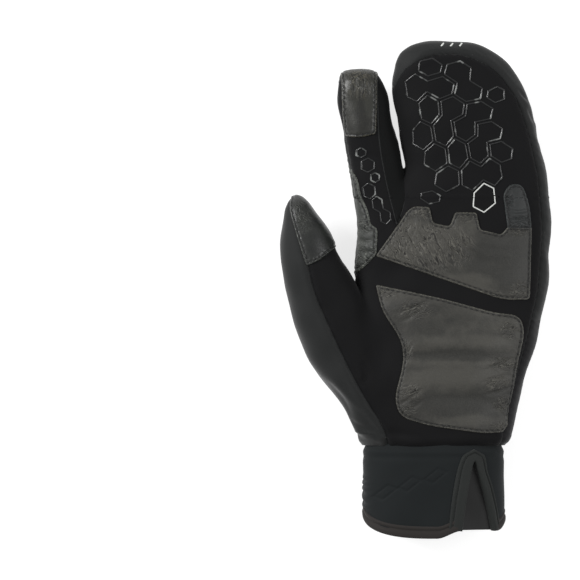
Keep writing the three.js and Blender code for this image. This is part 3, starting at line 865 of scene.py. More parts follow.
# Leather: a pebbled grain and slow bands of tone, on the palm leather partly painted light and shade of folds.
# Wrinkles are the lines at which a noise drawn out one way passes its middle value, with painted shade along
# them and a painted highlight beside them, near spots (x, y, reach across, reach along). A spot of tone has its
# strength after its spot, some being painted light and shade; the rim gets a painted highlight in patches and
# the groove of the stitches painted shade
def leatherMaterial(
    name, dark, mid, light, roughness, wrinkles=(), toneAndShadeSpots=(), bands=(0.3, 1, 1), gloss=0.0, everywhere=0.04
):
    paint = Paint(name)
    pebble = paint.cells(0.8)
    fine = paint.noise(0.45, 2, 0.6)
    creaseShade, ridge, puff = 0.0, 0.0, 0.0
    for turn, size, spots in wrinkles:
        near = everywhere
        for spot in spots:
            near = paint.spot(*spot).math("MAXIMUM", near)
        near = near * paint.noise(size * 2.2, 2).between(0.26, 0.5)
        for part, weight in ((1.0, 1.0), (0.55, 0.5)):
            line = (paint.noise(size * part, 1, 0.4, (1, 0.22, 1), turn, 0.7) - 0.5).math("ABSOLUTE")
            # painted shade along each wrinkle line and a painted highlight on a band beside it
            creaseShade = (1 - line.between(0.0, 0.03)) * near * weight + creaseShade
            ridge = line.between(0.02, 0.045) * (1 - line.between(0.045, 0.09)) * near * weight + ridge
            puff = line.between(0.0, 0.09) * near * weight + puff
    # slow tone and its spots; the bands and some spots are painted light and shade of folds and a dent
    tone = paint.noise(15, 2, 0.45, bands) * 0.7 + paint.noise(6, 3, 0.6) * 0.3
    for x, y, across, along, strength in toneAndShadeSpots:
        tone = paint.spot(x, y, across, along) * strength + tone
    inset = paint.node("ShaderNodeAttribute", {"attribute_name": "inset"}, {}, "Fac")
    # painted highlight in patches on the rounded rim, and painted shade in the dip where the stitches run
    rim = (1 - inset.between(0.35, 0.8)) * paint.noise(0.8, 2).between(0.45, 0.58)
    groove = inset.between(0.7, 1.1) * (1 - inset.between(1.6, 2.1))
    base = paint.blend(tone.between(0.36, 0.64), linear(*dark), linear(*mid))
    speckled = paint.blend((pebble * 0.4 + (fine - 0.5) * 0.5).clamped() * 0.15, base, linear(*light))
    raised = paint.blend((ridge * 0.38 + rim * 0.45).clamped(), speckled, linear(*light))
    withPaintedShade = paint.blend((creaseShade * 0.9 + groove * 0.3).clamped(), raised, linear(*[v * 0.35 for v in dark]))
    height = pebble * 0.3 + fine * 0.3 + puff * 1.7 + paint.noise(3.2, 3) * 0.9
    if gloss:
        paint.shader.inputs["Coat Weight"].default_value = gloss
        paint.shader.inputs["Coat Roughness"].default_value = 0.3
    paint.shader.inputs["Specular IOR Level"].default_value = 0.3
    return paint.finish(
        Base_Color=withPaintedShade,
        Roughness=(roughness + 0.2 * (fine - 0.5)).clamped(),
        Normal=paint.bump(height, 0.15),
    )


# Smooth rubbery or reflective stuff with faint specks, and here and there a painted glint in another colour
def smoothMaterial(name, colour, roughness, speck=0.12, size=0.8, coat=0.0, depth=0.02, paintedGlint=None):
    paint = Paint(name)
    mottle = paint.noise(size, 3, 0.6)
    darker = linear(*[v * (1 - speck) for v in colour])
    tone = paint.blend(mottle.between(0.35, 0.65), darker, linear(*colour))
    # painted glints: paler patches that stand in for highlights on the glossy rubber
    if paintedGlint:
        tone = paint.blend(paint.noise(6, 1).between(0.58, 0.68) * 0.8, tone, linear(*paintedGlint))
    paint.shader.inputs["Coat Weight"].default_value = coat
    return paint.finish(
        Base_Color=tone,
        Roughness=(roughness + 0.1 * (mottle - 0.5)).clamped(),
        Normal=paint.bump(mottle, depth),
    )


palmLeather = dict(
    dark=(34, 34, 32), mid=(57, 56, 52), light=(106, 104, 96), roughness=0.55,
    wrinkles=[
        (0.46, 2.4, [(-6, 159, 19, 22), (8, 157, 17, 22), (22, 158, 13, 16), (3, 176, 8, 6)]),
        (1.7, 1.9, [(27, 174, 8, 5), (4, 178, 7, 5), (56, 134, 9, 8), (55, 167, 9, 4.5), (-16, 133, 9, 5),
                    (40, 132, 12, 4)]),
        (-1.15, 1.9, [(50, 113, 8, 7), (47, 95, 11, 6), (44, 84, 10, 6), (47, 73, 8, 6), (46, 60, 10, 5),
                      (-3, 79, 9, 7), (-6, 69, 8, 6), (-1, 124, 14, 7), (12, 60, 14, 4)]),
        (-0.5, 1.7, [(-6, 101, 6, 9)]),
    ],
    # the bands from y 107 down to 64 are painted light and shade of the soft folds across the lower leather
    toneAndShadeSpots=[
        (-8, 160, 20, 16, 0.3), (12, 158, 16, 16, 0.12), (50, 152, 26, 26, -0.34), (26, 139, 28, 7, 0.14),
        (22, 107, 40, 5, 0.18), (24, 99, 40, 4.5, -0.2), (20, 88, 38, 6, 0.12), (24, 74, 38, 6, -0.16),
        (26, 64, 30, 4, 0.1),
    ],
)
sideLeather = dict(
    dark=(40, 42, 40), mid=(62, 64, 61), light=(112, 114, 107), roughness=0.52, bands=(1, 0.5, 1),
    wrinkles=[
        (1.45, 3.0, [(-28, 153, 14, 12), (-27, 170, 8, 6)]),
        (0.9, 2.2, [(-50, 148, 12, 7), (-46, 130, 9, 6)]),
        (1.9, 2.0, [(-54, 145, 9, 7)]),
    ],
)
tabLeather = dict(
    dark=(25, 27, 27), mid=(34, 36, 36), light=(64, 68, 68), roughness=0.52,
    wrinkles=[(1.6, 1.7, [(56, 171, 9, 6), (50, 182, 4, 8)])],
)
indexLeather = dict(
    dark=(19, 20, 19), mid=(33, 34, 31), light=(98, 93, 76), roughness=0.42, bands=(1, 1, 1), gloss=0.22,
    wrinkles=[(0.05, 2.6, [(-30, 249, 12, 14)])],
    # two paler spots with a darker one between them: painted light and shade of a soft dent down the pad
    toneAndShadeSpots=[
        (-35, 237, 4.5, 8, 0.3), (-25.5, 234, 3.4, 8, 0.25), (-30, 229, 4.5, 12, -0.2), (-31, 250, 12, 6, -0.1),
    ],
)
thumbLeather = dict(
    dark=(15, 17, 17), mid=(27, 29, 27), light=(84, 86, 80), roughness=0.42, bands=(1, 1, 1), gloss=0.2,
    wrinkles=[(0.5, 2.0, [(-61, 173, 7, 10), (-64, 181, 6, 5)])],
    toneAndShadeSpots=[(-61, 172, 6, 9, 0.3), (-53, 158, 8, 10, -0.2)],
)
materials = dict(
    softshell=clothMaterial("charcoal softshell", (25, 26, 26), (36, 37, 37), 0.62, 0.16, 0.5),
    palmFabric=clothMaterial("black palm cloth", (11, 11, 12), (18, 18, 19), 0.75, 0.05, 0.6),
    backFabric=clothMaterial("black pocket cloth", (24, 24, 25), (31, 31, 32), 0.66, 0.12, 0.5),
    forkFabric=clothMaterial("side wall cloth", (6, 7, 7), (11, 12, 12), 0.7, 0.04, 0.5, below=(27, 28, 28)),
    cuffFabric=clothMaterial("cuff neoprene", (20, 23, 24), (28, 31, 32), 0.75, 0.08, 0.45),
    gussetFabric=clothMaterial("gusset cloth", (40, 40, 40), (52, 52, 52), 0.8, 0.08, 0.5),
    slitTape=clothMaterial("slit tape", (30, 32, 31), (40, 42, 41), 0.66, 0.1, 0.4, 0.06),
    hemTape=clothMaterial("hem tape", (33, 31, 30), (48, 45, 43), 0.66, 0.1, 0.4, 0.06),
    greyLeather=leatherMaterial("grey palm leather", **palmLeather),
    sideLeather=leatherMaterial("grey side leather", **sideLeather),
    darkLeather=leatherMaterial("blue-grey leather", **tabLeather),
    indexLeather=leatherMaterial("index finger leather", **indexLeather),
    thumbLeather=leatherMaterial("thumb leather", **thumbLeather),
    piping=smoothMaterial("reflective piping", (246, 247, 243), 0.45, 0.04),
    # the pale patches on the grip are painted glints
    grip=smoothMaterial("grip silicone", (15, 16, 17), 0.3, 0.2, 1.2, 0.2, paintedGlint=(110, 112, 110)),
    print=smoothMaterial("reflective print", (200, 202, 198), 0.4, 0.06),
    blackThread=smoothMaterial("black thread", (8, 8, 8), 0.7, 0.3, 0.3),
)
print("materials made")

# The whole mitt's surface
fineness = 1.05
points, quads = surfaceOf(mittDistance, (-76, 44, -3), (76, 273, 45), fineness)
points = settle(points, 3)
base = dict(points=points, triangles=toTriangles(points, quads), values={})
base["values"] = panelDepths(points) | {"wrist": points[:, 1] - wristAt}
base, _ = splitMesh(base, "wrist")
print("surface", len(points), "points")

# Panels of cloth, with lines of points along their seams
seamLevels = (-1.3, -0.45, 0.45, 1.3)
panels = {}
rest = addLines(base, "palm", seamLevels)
panels["palm_shell"], rest = splitMesh(rest, "palm")
rest = addLines(rest, "fork", seamLevels)
panels["fourchette"], rest = splitMesh(rest, "fork")
rest = addLines(rest, "backPanel", seamLevels)
panels["back_panel"], rest = splitMesh(rest, "backPanel")
rest = addLines(rest, "thumb", seamLevels)
panels["thumb_shell"], panels["back_shell"] = splitMesh(rest, "thumb")
panelFinish = dict(
    palm_shell=("palmFabric", "palm_fabric"),
    fourchette=("forkFabric", "palm_fabric"),
    back_panel=("backFabric", "back_fabric"),
    thumb_shell=("softshell", "softshell"),
    back_shell=("softshell", "softshell"),
)
for name, (finishName, slot) in panelFinish.items():
    panel = panels[name]
    facing = facingOf(panel["points"])
    shaped = panel["points"] + facing * reliefOf(panel["points"], facing)[:, None]
    piece = makeObject(name + "_cloth", *walled(shaped, facing, panel["triangles"], 1.5), weld=0.14)
    dress(piece, materials[finishName], slot, name)
print("panels made")


def gridFaces(rows, columns, closed=False):
    across = columns if closed else columns - 1
    r, c = np.meshgrid(np.arange(rows - 1), np.arange(across), indexing="ij")
    n = (c + 1) % columns
    corners = [r * columns + c, r * columns + n, (r + 1) * columns + n, (r + 1) * columns + c]
    return np.stack([corner.ravel() for corner in corners], 1)


# One stitch is a capsule, its ends bent down into the cloth
stitch = dict(length=2.2, radius=0.4, pitch=3.1, bend=0.3)


def makeStitches(name, places, directions, facings, slot, finish):
    rings, around = 7, 6
    t = np.linspace(0, 1, rings)
    a = np.linspace(0, 2 * np.pi, around + 1)[:-1]
    girth = stitch["radius"] * np.sqrt(np.clip(1 - (2 * t - 1) ** 4, 0.02, 1))
    shape = np.stack(
        [
            np.repeat((t - 0.5) * stitch["length"], around),
            (girth[:, None] * np.cos(a)).ravel(),
            (girth[:, None] * np.sin(a) - stitch["bend"] * (2 * t[:, None] - 1) ** 2).ravel(),
        ],
        1,
    )
    side = unit(np.cross(facings, directions))
    frameOf = np.stack([np.cross(side, facings), side, facings], 1)
    points = places[:, None] + shape @ frameOf
    faces = gridFaces(rings, around, closed=True)
    faces = np.concatenate([faces, np.array([[0, 3, 2, 1], [0, 5, 4, 3]])])
    last = (rings - 1) * around
    faces = np.concatenate([faces, np.array([[0, 1, 2, 3], [0, 3, 4, 5]]) + last])
    every = faces[None] + (np.arange(len(places)) * len(shape))[:, None, None]
    dress(makeObject(name, points.reshape(-1, 3), every.reshape(-1, 4)), materials[finish], slot)


# stitches every pitch along a line of known points; none where the line has a gap
def stitchesAlong(points, facings, along):
    order = np.argsort(along)
    points, facings, along = points[order], facings[order], along[order]
    at = np.arange(along[0] + 1, along[-1] - 1, stitch["pitch"])

    def read(where, values):
        return np.stack([np.interp(where, along, values[:, k]) for k in range(3)], 1)

    right = np.clip(np.searchsorted(along, at), 1, len(along) - 1)
    near = along[right] - along[right - 1] < 1.5
    direction = unit(read(at + 0.8, points) - read(at - 0.8, points))
    return read(at, points)[near], direction[near], unit(read(at, facings))[near]


# Leather lies on the cloth: a rounded edge, a flat field and a shallow dip where its stitches run
leather = dict(thickness=0.95, edge=0.9, lowest=0.12, stitchAt=1.35, dip=0.34, dipWidth=0.42, pucker=0.09)


# quarter ellipse up from the rim, less a bell where the stitches run, and two waves along the rim
def leatherHeight(depth, points):
    d = np.clip(depth, 0, leather["edge"]) / leather["edge"]
    lift = leather["lowest"] + (leather["thickness"] - leather["lowest"]) * np.sqrt(1 - (1 - d) ** 2)
    around = points[:, 0] * 1.9 + points[:, 1] * 2.3
    pucker = leather["pucker"] * (np.sin(around) + np.sin(around * 0.37 + 2)) * bell(depth - 0.8, 1.6)
    dip = leather["dip"] * bell(depth - leather["stitchAt"], leather["dipWidth"])
    return lift - dip + pucker


# one outline below a height and another above it, blended between
def blendedOutline(upperName, lowerName, points, low=14.0, top=24.0):
    high = smoothStep(low, top, points[:, 2])
    upper = insideOutline(upperName, points)[0] if upperName else np.full(len(points), -9.0)
    lower = insideOutline(lowerName, points)[0] if lowerName else np.full(len(points), -9.0)
    return mix(lower, upper, high)


# positive on the thumb's own surface, negative on the hand's and the index finger's
def onThumb(points):
    body = softMin(handLobe(points), indexLobe(points), 1.0)
    return body - thumbLobe(points)


patches = dict(
    palm_leather_upper=("upperLeather", None, "body", "greyLeather", "grey_leather"),
    palm_leather_lower=("lowerLeather", None, "body", "greyLeather", "grey_leather"),
    little_finger_leather=("littleFinger", None, "body", "darkLeather", "dark_leather"),
    index_side_leather=("sidePalm", "sideBack", "body", "sideLeather", "grey_leather"),
    index_tip_leather=("indexTip", "indexTipBack", "body", "indexLeather", "dark_leather"),
    thumb_tip_leather=("thumbTip", None, "thumb", "thumbLeather", "dark_leather"),
    thumb_crotch_leather=(None, "thumbCrotch", "thumb", "sideLeather", "grey_leather"),
)


meeting = 0.6  # how far the leathers reach past the line where thumb and hand meet


def patchDepth(name, points):
    upperName, lowerName, on, _, _ = patches[name]
    heights = (10.5, 17.5) if name == "index_side_leather" else ()
    depth = blendedOutline(upperName, lowerName, points, *heights)
    if on == "thumb":
        return np.minimum(depth, onThumb(points) * 0.8 + meeting)
    if name == "index_side_leather":
        return np.minimum(depth, -onThumb(points) * 0.8 + meeting)
    if name.startswith("index"):
        return np.minimum(depth, handLobe(points) - indexLobe(points))
    return depth


leatherLevels = (0.1, 0.3, 0.6, 0.95, leather["stitchAt"], 1.8)
stitchRows = []
for name, (upperName, lowerName, on, finishName, slot) in patches.items():
    near = patchDepth(name, base["points"])
    around = keepTriangles(base, (near[base["triangles"]] > -2.5).any(1))
    fine = refine(around)
    fine["values"] = {"patch": patchDepth(name, fine["points"])}
    fine, _ = splitMesh(fine, "patch")
    fine = addLines(fine, "patch", leatherLevels)
    spots = fine["points"]
    facing = facingOf(spots)
    lift = reliefOf(spots, facing) + leatherHeight(fine["values"]["patch"], spots)
    spots = spots + facing * lift[:, None]
    inset = np.tile(fine["values"]["patch"], 2)
    piece = makeObject(name + "_patch", *walled(spots, facing, fine["triangles"], 0.5), 0.09, inset)
    dress(piece, materials[finishName], slot, name)
    stitched = np.abs(fine["values"]["patch"] - leather["stitchAt"]) < 1e-6
    for outline, half in ((upperName, spots[:, 2] > splitHeight), (lowerName, spots[:, 2] <= splitHeight)):
        chosen = stitched & half
        if outline and chosen.sum() > 8:
            along = insideOutline(outline, fine["points"][chosen])[1]
            stitchRows.append(stitchesAlong(spots[chosen], facing[chosen], along))
print("leather made")

# Cuff: superellipse sections, counted by the share of the way round; share 0 is the little-finger side
# and 0.25 the palm. The cloth runs from the slit's left edge round thumb side and back to its right edge
cuff = dict(
    wall=1.9, columns=400, rows=96, top=53.0, tuck=1.3, thumbRise=12.0, otherRise=9.0, corner=3.9, flap=3.9,
    back=3.3, middle=10, half=37.4,
    ripple=dict(height=0.6, length=3.9, share=0.5, width=0.035, low=(12, 18), high=(36, 30)),
    dents=dict(height=0.35, fade=(48, 38)),
    crease=dict(depth=0.35, at=44, width=1.6),
)
readCuff = smoothTable(cuffRows)
slitLeft = [(0, 23.6), (5.9, 24.4), (19.9, 26.4), (29, 27.9), (36.4, 29.3), (42.5, 31.4), (60, 31.4)]
slitRight = [
    (0, 43), (4.2, 42.6), (8.7, 41.4), (19.8, 39), (30.9, 35.6), (37, 33.4), (42.5, 31.42), (60, 31.42),
]


# a superellipse's point at an angle, grown outward, and no lower than the floor
def cuffPoint(angle, y, grow, floor):
    left, right, middle, half = (column.reshape(y.shape) for column in readCuff(y.ravel()).T)
    c, s = np.cos(angle), np.sin(angle)
    x = (left + right) / 2 + ((right - left) / 2 + grow) * np.sign(c) * np.abs(c) ** (2 / squareness)
    z = middle + (half + grow) * np.sign(s) * np.abs(s) ** (2 / squareness)
    return np.stack([x, y + 0 * z, softMax(z, floor + 0 * z, 0.8)], -1)


denseAngle = np.linspace(0, 2 * np.pi, 2001)
denseRing = cuffPoint(denseAngle, np.full(2001, 25.0), 0.0, -9.0)
denseRun = runAlong(denseRing)
cuffGirth = denseRun[-1]


def angleAt(share):
    return np.interp(np.mod(share, 1.0) * cuffGirth, denseRun, denseAngle)


# share of the way round at which the palm side of the cuff has this x
def shareAt(x, y):
    left, right, _, _ = (column.reshape(y.shape) for column in readCuff(y.ravel()).T)
    across = (x - (left + right) / 2) / ((right - left) / 2)
    c = np.sign(across) * np.clip(np.abs(across), 0, 1) ** (squareness / 2)
    return np.interp(np.arccos(np.clip(c, -1, 1)), denseAngle, denseRun) / cuffGirth


# the hem rises towards both sides, and its corner at the slit is rounded
def hemAt(share):
    angle = angleAt(share)
    across, up = (np.abs(f(angle)) ** (2 / squareness) for f in (np.cos, np.sin))
    x = cuff["middle"] + cuff["half"] * np.sign(np.cos(angle)) * across
    rise = mix(cuff["thumbRise"], cuff["otherRise"], smoothStep(-0.3, 0.3, np.cos(angle)))
    palm = rise * (1 - up) ** 1.1 + cuff["corner"] * smoothStep(11, 24, x)
    flap = mix(cuff["flap"], cuff["otherRise"], smoothStep(0.5, 0.0, np.sin(angle)))
    back = cuff["back"] + (rise - cuff["back"]) * (1 - up) ** 0.8
    return np.where(np.sin(angle) < 0, back, np.where(x > 33, flap, palm))


def slitShares(y):
    left = shareAt(smoothTable(slitLeft)(y.ravel())[:, 0].reshape(y.shape), y)
    right = shareAt(smoothTable(slitRight)(y.ravel())[:, 0].reshape(y.shape), y)
    return left, right + 1


# Lozenges pressed into the palm side of the cuff: the middle of each, and how long and high it is
pressed = dict(at=[(-17, 25), (-4, 29.5), (10, 34)], length=6.0, height=3.4, slope=0.33, width=0.7, depth=0.4)


def pressedIn(share, y):
    x = cuffPoint(angleAt(share), y, 0.0, -9.0)[..., 0]
    total = 0.0
    for x0, y0 in pressed["at"]:
        across = x - x0
        up = y - y0 - pressed["slope"] * across
        away = (np.abs(across - 0.4 * up) / pressed["length"] + np.abs(up) / pressed["height"] - 1) * 3.0
        total = total + bell(away, pressed["width"])
    return pressed["depth"] * total * smoothStep(0.0, 0.3, np.sin(angleAt(share)))


# ripples up the thumb side, slow dents, and the top tucked in under the mitt
def cuffRelief(share, y):
    ripple, dent, crease = cuff["ripple"], cuff["dents"], cuff["crease"]
    wander = y + 0.9 * np.sin(y / 2.3) + 3 * np.sin(share * 30)
    ripples = ripple["height"] * np.sin(2 * np.pi * wander / ripple["length"])
    ripples = ripples * bell(share - ripple["share"], ripple["width"])
    ripples *= smoothStep(*ripple["low"], y) * smoothStep(*ripple["high"], y)
    dents = dent["height"] * np.sin(share * 25 + y / 9) * np.sin(y / 11 + share * 12)
    tuck = cuff["tuck"] * smoothStep(46.5, 50.5, y)
    dents = dents * smoothStep(*dent["fade"], y) - crease["depth"] * bell(y - crease["at"], crease["width"])
    return ripples + dents - tuck - pressedIn(share, y)


def makeCuff():
    s = np.linspace(0, 1, cuff["columns"])[None, :]
    v = np.linspace(0, 1, cuff["rows"])[:, None]
    share = 0.25 + 0.9 * s + 0 * v
    for _ in range(3):
        low = hemAt(share) + 1.0
        y = low + (cuff["top"] - low) * v
        left, right = slitShares(y)
        share = mix(left, right, s)
    grow = cuffRelief(share, y)
    points = cuffPoint(angleAt(share), y, grow, 1.2)
    faces = gridFaces(cuff["rows"], cuff["columns"])[:, ::-1]
    piece = makeObject("cuff_cloth", points.reshape(-1, 3), faces, weld=0.02)
    solidify(piece, cuff["wall"])
    dress(piece, materials["cuffFabric"], "cuff_fabric", "cuff")


# the panel behind the slit bulges inward between the slit's edges
def makeGusset():
    y = np.linspace(4.5, 46, 40)[:, None]
    s = np.linspace(0, 1, 30)[None, :]
    left, right = slitShares(y + 0 * s)
    share = mix(left + 0.02, right - 1 - 0.02, s)
    grow = -2.4 - 2.2 * np.sin(np.pi * s) * smoothStep(44, 20, y) + 0.3 * np.sin(y / 5 + 6 * s)
    points = cuffPoint(angleAt(share), y + 0 * s, grow, 1.2)
    piece = makeObject("gusset_cloth", points.reshape(-1, 3), gridFaces(40, 30))
    solidify(piece, 0.9)
    dress(piece, materials["gussetFabric"], "gusset_fabric", "cuff_gusset")


# Tape folded over the hem: distance above the edge and past the cuff's face, along its profile
hemProfile = [
    (6.6, -0.3), (6.6, 0.2), (6.2, 0.6), (5.4, 0.7), (4.6, 0.35), (4.2, 0.1), (3.8, 0.45), (3.2, 0.85),
    (1.8, 1.1), (0.7, 1.0), (0.1, 0.4), (0.0, -0.6), (0.1, -2.2), (0.7, -3.0), (1.8, -3.2), (4.6, -3.1),
    (5.0, -2.2),
]


def makeHem():
    profile = smoothLine(hemProfile, 34)
    s = np.linspace(0, 1, 300)[:, None]
    left, right = slitShares(np.full((300, 1), 3.0))
    share = mix(left, right, s)
    soft = 1 - 0.5 * smoothStep(0.012, 0.0, np.minimum(s, 1 - s))
    y = hemAt(share) + profile[None, :, 0]
    grow = np.where(profile[None, :, 1] > 0, profile[None, :, 1] * soft, profile[None, :, 1])
    points = cuffPoint(angleAt(share) + 0 * y, y, grow, 0.12)
    faces = gridFaces(300, 34, closed=True)
    piece = makeObject("hem_tape", points.reshape(-1, 3), faces[:, ::-1])
    capEnds(piece)
    dress(piece, materials["hemTape"], "binding_tape", "hem_binding")


# closes the two ends of a tube and turns its faces outward
def capEnds(piece):
    bm = bmesh.new()
    bm.from_mesh(piece.data)
    bmesh.ops.holes_fill(bm, edges=[e for e in bm.edges if e.is_boundary], sides=0)
    bmesh.ops.recalc_face_normals(bm, faces=bm.faces)
    bm.to_mesh(piece.data)
    bm.free()


# Tape folded over the slit's edges: distance outward from the edge and height over the cuff's face
slitProfile = [
    (7.4, -0.4), (7.3, 0.3), (6.8, 0.75), (6.1, 0.7), (5.5, 0.25), (5.2, 0.0), (4.9, 0.35), (4.2, 0.75),
    (2.6, 0.95), (0.9, 1.0), (0.2, 0.8), (-0.3, 0.3), (-0.45, -0.8), (-0.3, -2.0), (0.6, -2.6), (2.0, -2.5),
    (2.4, -1.9),
]
slitPath = [
    (24.3, 4.0), (24.8, 8), (26.4, 19.7), (27.9, 28.8), (29.3, 36.2), (30.3, 40.6), (31.4, 42.1),
    (32.3, 40.7), (33.5, 37), (37.3, 25.8), (40, 15), (41.4, 8.7), (42.6, 4.2),
]


def makeSlitTape():
    profile = smoothLine(slitProfile, 36)
    path = smoothLine(slitPath, 110)
    run = shareAt(path[:, 0], path[:, 1]) * cuffGirth
    flat = np.stack([run, path[:, 1]], 1)
    along = unit(np.gradient(flat, axis=0))
    outward = np.stack([along[:, 1], -along[:, 0]], 1)
    t = np.linspace(0, 1, 110)[:, None]
    width = mix(1.0, 0.62, smoothStep(0.4, 0.62, t)) * mix(1.0, 0.85, smoothStep(0.85, 1.0, t))
    run = flat[:, :1] + outward[:, :1] * profile[None, :, 0] * width
    y = flat[:, 1:] + outward[:, 1:] * profile[None, :, 0] * width
    points = cuffPoint(angleAt(run / cuffGirth), y, profile[None, :, 1] + 0.1, 0.3)
    piece = makeObject("slit_tape", points.reshape(-1, 3), gridFaces(110, 36, closed=True))
    capEnds(piece)
    dress(piece, materials["slitTape"], "binding_tape", "slit_binding")


makeCuff()
makeGusset()
makeHem()
makeSlitTape()
print("cuff made")


# Where the mitt's surface lies above (palm) or below (back) a point in x and y, folds included
def onFace(xy, palm):
    outer, inner = (62.0, 21.0) if palm else (-6.0, 17.0)
    low, high = np.full(len(xy), outer), np.full(len(xy), inner)
    for _ in range(26):
        middle = (low + high) / 2
        outside = mittDistance(np.column_stack([xy, middle])) > 0
        low, high = np.where(outside, middle, low), np.where(outside, high, middle)
    points = np.column_stack([xy, low])
    facing = facingOf(points)
    return points + facing * reliefOf(points, facing)[:, None], facing


# a round cord along its path, half sunk in the cloth and off the table
def makePiping():
    line = smoothLine(pipingPath["points"], 150)
    centre, facing = onFace(line, palm=False)
    radius = pipingPath["radius"] * np.clip(np.linspace(0.3, 30, 150), 0.3, 1)[:, None]
    centre = centre + facing * 0.35
    centre[:, 2] = np.maximum(centre[:, 2], radius[:, 0] + 0.08)
    along = unit(np.gradient(centre, axis=0))
    side = unit(np.cross(along, facing))
    up = np.cross(side, along)
    angle = np.linspace(0, 2 * np.pi, 17)[:-1]
    ring = side[:, None] * np.cos(angle)[None, :, None] + up[:, None] * np.sin(angle)[None, :, None]
    points = centre[:, None] + ring * radius[:, None]
    piece = makeObject("piping_cord", points.reshape(-1, 3), gridFaces(150, 16, closed=True))
    capEnds(piece)
    dress(piece, materials["piping"], "reflective_piping", "piping")
    return line


pipingLine = makePiping()

allStitches = [np.concatenate(parts) for parts in zip(*stitchRows)]
makeStitches("leather_stitches", *allStitches, "binding_tape", "blackThread")
offset = unit(np.gradient(pipingLine, axis=0))
above = pipingLine + np.stack([offset[:, 1], -offset[:, 0]], 1) * 2.9
runUp = runAlong(above)
onBack = (above[:, 0] < 66.5) & (above[:, 0] > -30)
runUp, above = runUp[onBack], above[onBack]
abovePoints, aboveFacings = onFace(above, palm=False)
pipingRow = stitchesAlong(abovePoints, aboveFacings, runUp)
makeStitches("piping_stitches", *pipingRow, "binding_tape", "blackThread")
print("stitches made", len(allStitches[0]))

# Grip print: a honeycomb of raised rubber outlines; neighbouring cells are joined at random in twos and
# threes, each outline is drawn inside its cells, and slow waves make the cells larger and smaller
grip = dict(
    width=0.46, height=0.42, insets=(0.8, 0.8, 1.7, 2.6), joins=(0.5, 0.36, 0.14), missing=0.03, wave=2.2,
    paleNear=(26.0, 188.0), paleWidth=0.34, paleHeight=0.2,
    mitt=dict(pitch=13.2, corner=(-11.5, 174.0), rows=8, columns=7, seed=5),
    index=dict(pitch=7.8, corner=(-40.5, 160.5), rows=9, columns=5, seed=4),
)


# each ring becomes a low rounded ridge of five points across, laid on the palm or the back
def printLines(name, rings, width, height, palm, finish, slot, lift=0.0):
    profile = np.array([(-1.0, -0.15), (-0.7, 0.7), (0.0, 1.0), (0.7, 0.7), (1.0, -0.15)])
    points, faces, count = [], [], 0
    for ring in rings:
        closed = np.allclose(ring[0], ring[-1])
        ring = ring[:-1] if closed else ring
        if closed:
            tangent = unit(np.roll(ring, -1, 0) - np.roll(ring, 1, 0))
        else:
            tangent = unit(np.gradient(ring, axis=0))
        side = np.stack([tangent[:, 1], -tangent[:, 0]], 1)
        xy = ring[:, None] + side[:, None] * profile[None, :, :1] * width
        points.append(xy.reshape(-1, 2))
        quads = gridFaces(len(ring) + (1 if closed else 0), 5)
        faces.append(quads % (len(ring) * 5) + count)
        count += len(ring) * 5
    xy = np.concatenate(points)
    surface, facing = onFace(xy, palm)
    heights = np.tile(profile[:, 1], len(xy) // 5) * height + lift
    faces = np.concatenate(faces)
    piece = makeObject(name, surface + facing * heights[:, None], faces if palm else faces[:, ::-1])
    dress(piece, materials[finish], slot)


def polygon(sides, turn):
    a = np.arange(sides) * 2 * np.pi / sides + turn
    return np.stack([np.cos(a), np.sin(a)], 1)


# a cell of the honeycomb with pitch 1: its middle and its corners
def cellMiddle(cell):
    return np.array([cell[1] + 0.5 * (cell[0] % 2), cell[0] * 0.866])


def cellCorners(cell):
    return np.round(cellMiddle(cell) + polygon(6, np.pi / 6) / np.sqrt(3), 2)


# the sides that only one of the cells has, one after the other
def joinedOutline(cells):
    sides = set()
    for cell in cells:
        corners = [tuple(corner) for corner in cellCorners(cell)]
        sides |= set(zip(corners, corners[1:] + corners[:1]))
    after = {a: b for a, b in sides if (b, a) not in sides}
    ring = [min(after)]
    while after[ring[-1]] != ring[0]:
        ring.append(after[ring[-1]])
    return np.array(ring)


# every corner moves inward along its mitre
def drawnIn(ring, distance):
    before, after = unit(ring - np.roll(ring, 1, 0)), unit(np.roll(ring, -1, 0) - ring)
    along = unit(before + after)
    stretch = 1 / np.maximum((along * after).sum(1, keepdims=True), 0.5)
    return ring + np.stack([-along[:, 1], along[:, 0]], 1) * distance * stretch


def fineRing(ring, steps=12):
    t = np.linspace(0, 1, steps, endpoint=False)[None, :, None]
    line = ring[:, None] * (1 - t) + np.roll(ring, -1, 0)[:, None] * t
    return np.concatenate([line.reshape(-1, 2), ring[:1]])


def isClear(ring):
    spot = np.column_stack([ring, np.full(len(ring), 30.0)])
    clear = insideOutline("palm", spot)[0] > 0.8
    for name in ("upperLeather", "littleFinger", "lowerLeather", "sidePalm", "indexTip", "forkPalm"):
        clear &= insideOutline(name, spot)[0] < -0.7
    return clear.all()


def gripRings(pitch, corner, rows, columns, seed):
    chance = np.random.default_rng(seed)
    free = [(row, column) for row in range(rows) for column in range(columns)]
    rings = []
    while free:
        group = [free.pop(0)]
        for _ in range(chance.choice(3, p=grip["joins"])):
            near = [c for c in free if min(np.hypot(*(cellMiddle(c) - cellMiddle(g))) for g in group) < 1.1]
            if near:
                group.append(free.pop(free.index(near[chance.integers(len(near))])))
        leftOut = chance.random() < grip["missing"]
        inset = chance.choice(grip["insets"]) * pitch / 13
        for cells in (group, *([cell] for cell in group)):
            ring = joinedOutline(cells) * pitch + corner
            ring = ring + grip["wave"] * pitch / 12 * np.sin(ring[:, ::-1] / 11 + ring / 13 + 1)
            ring = fineRing(drawnIn(ring, inset if len(cells) == 1 else grip["insets"][0]))
            if not leftOut and isClear(ring):
                rings.append(ring)
                if len(cells) > 1 or len(group) == 1:
                    break
    return rings


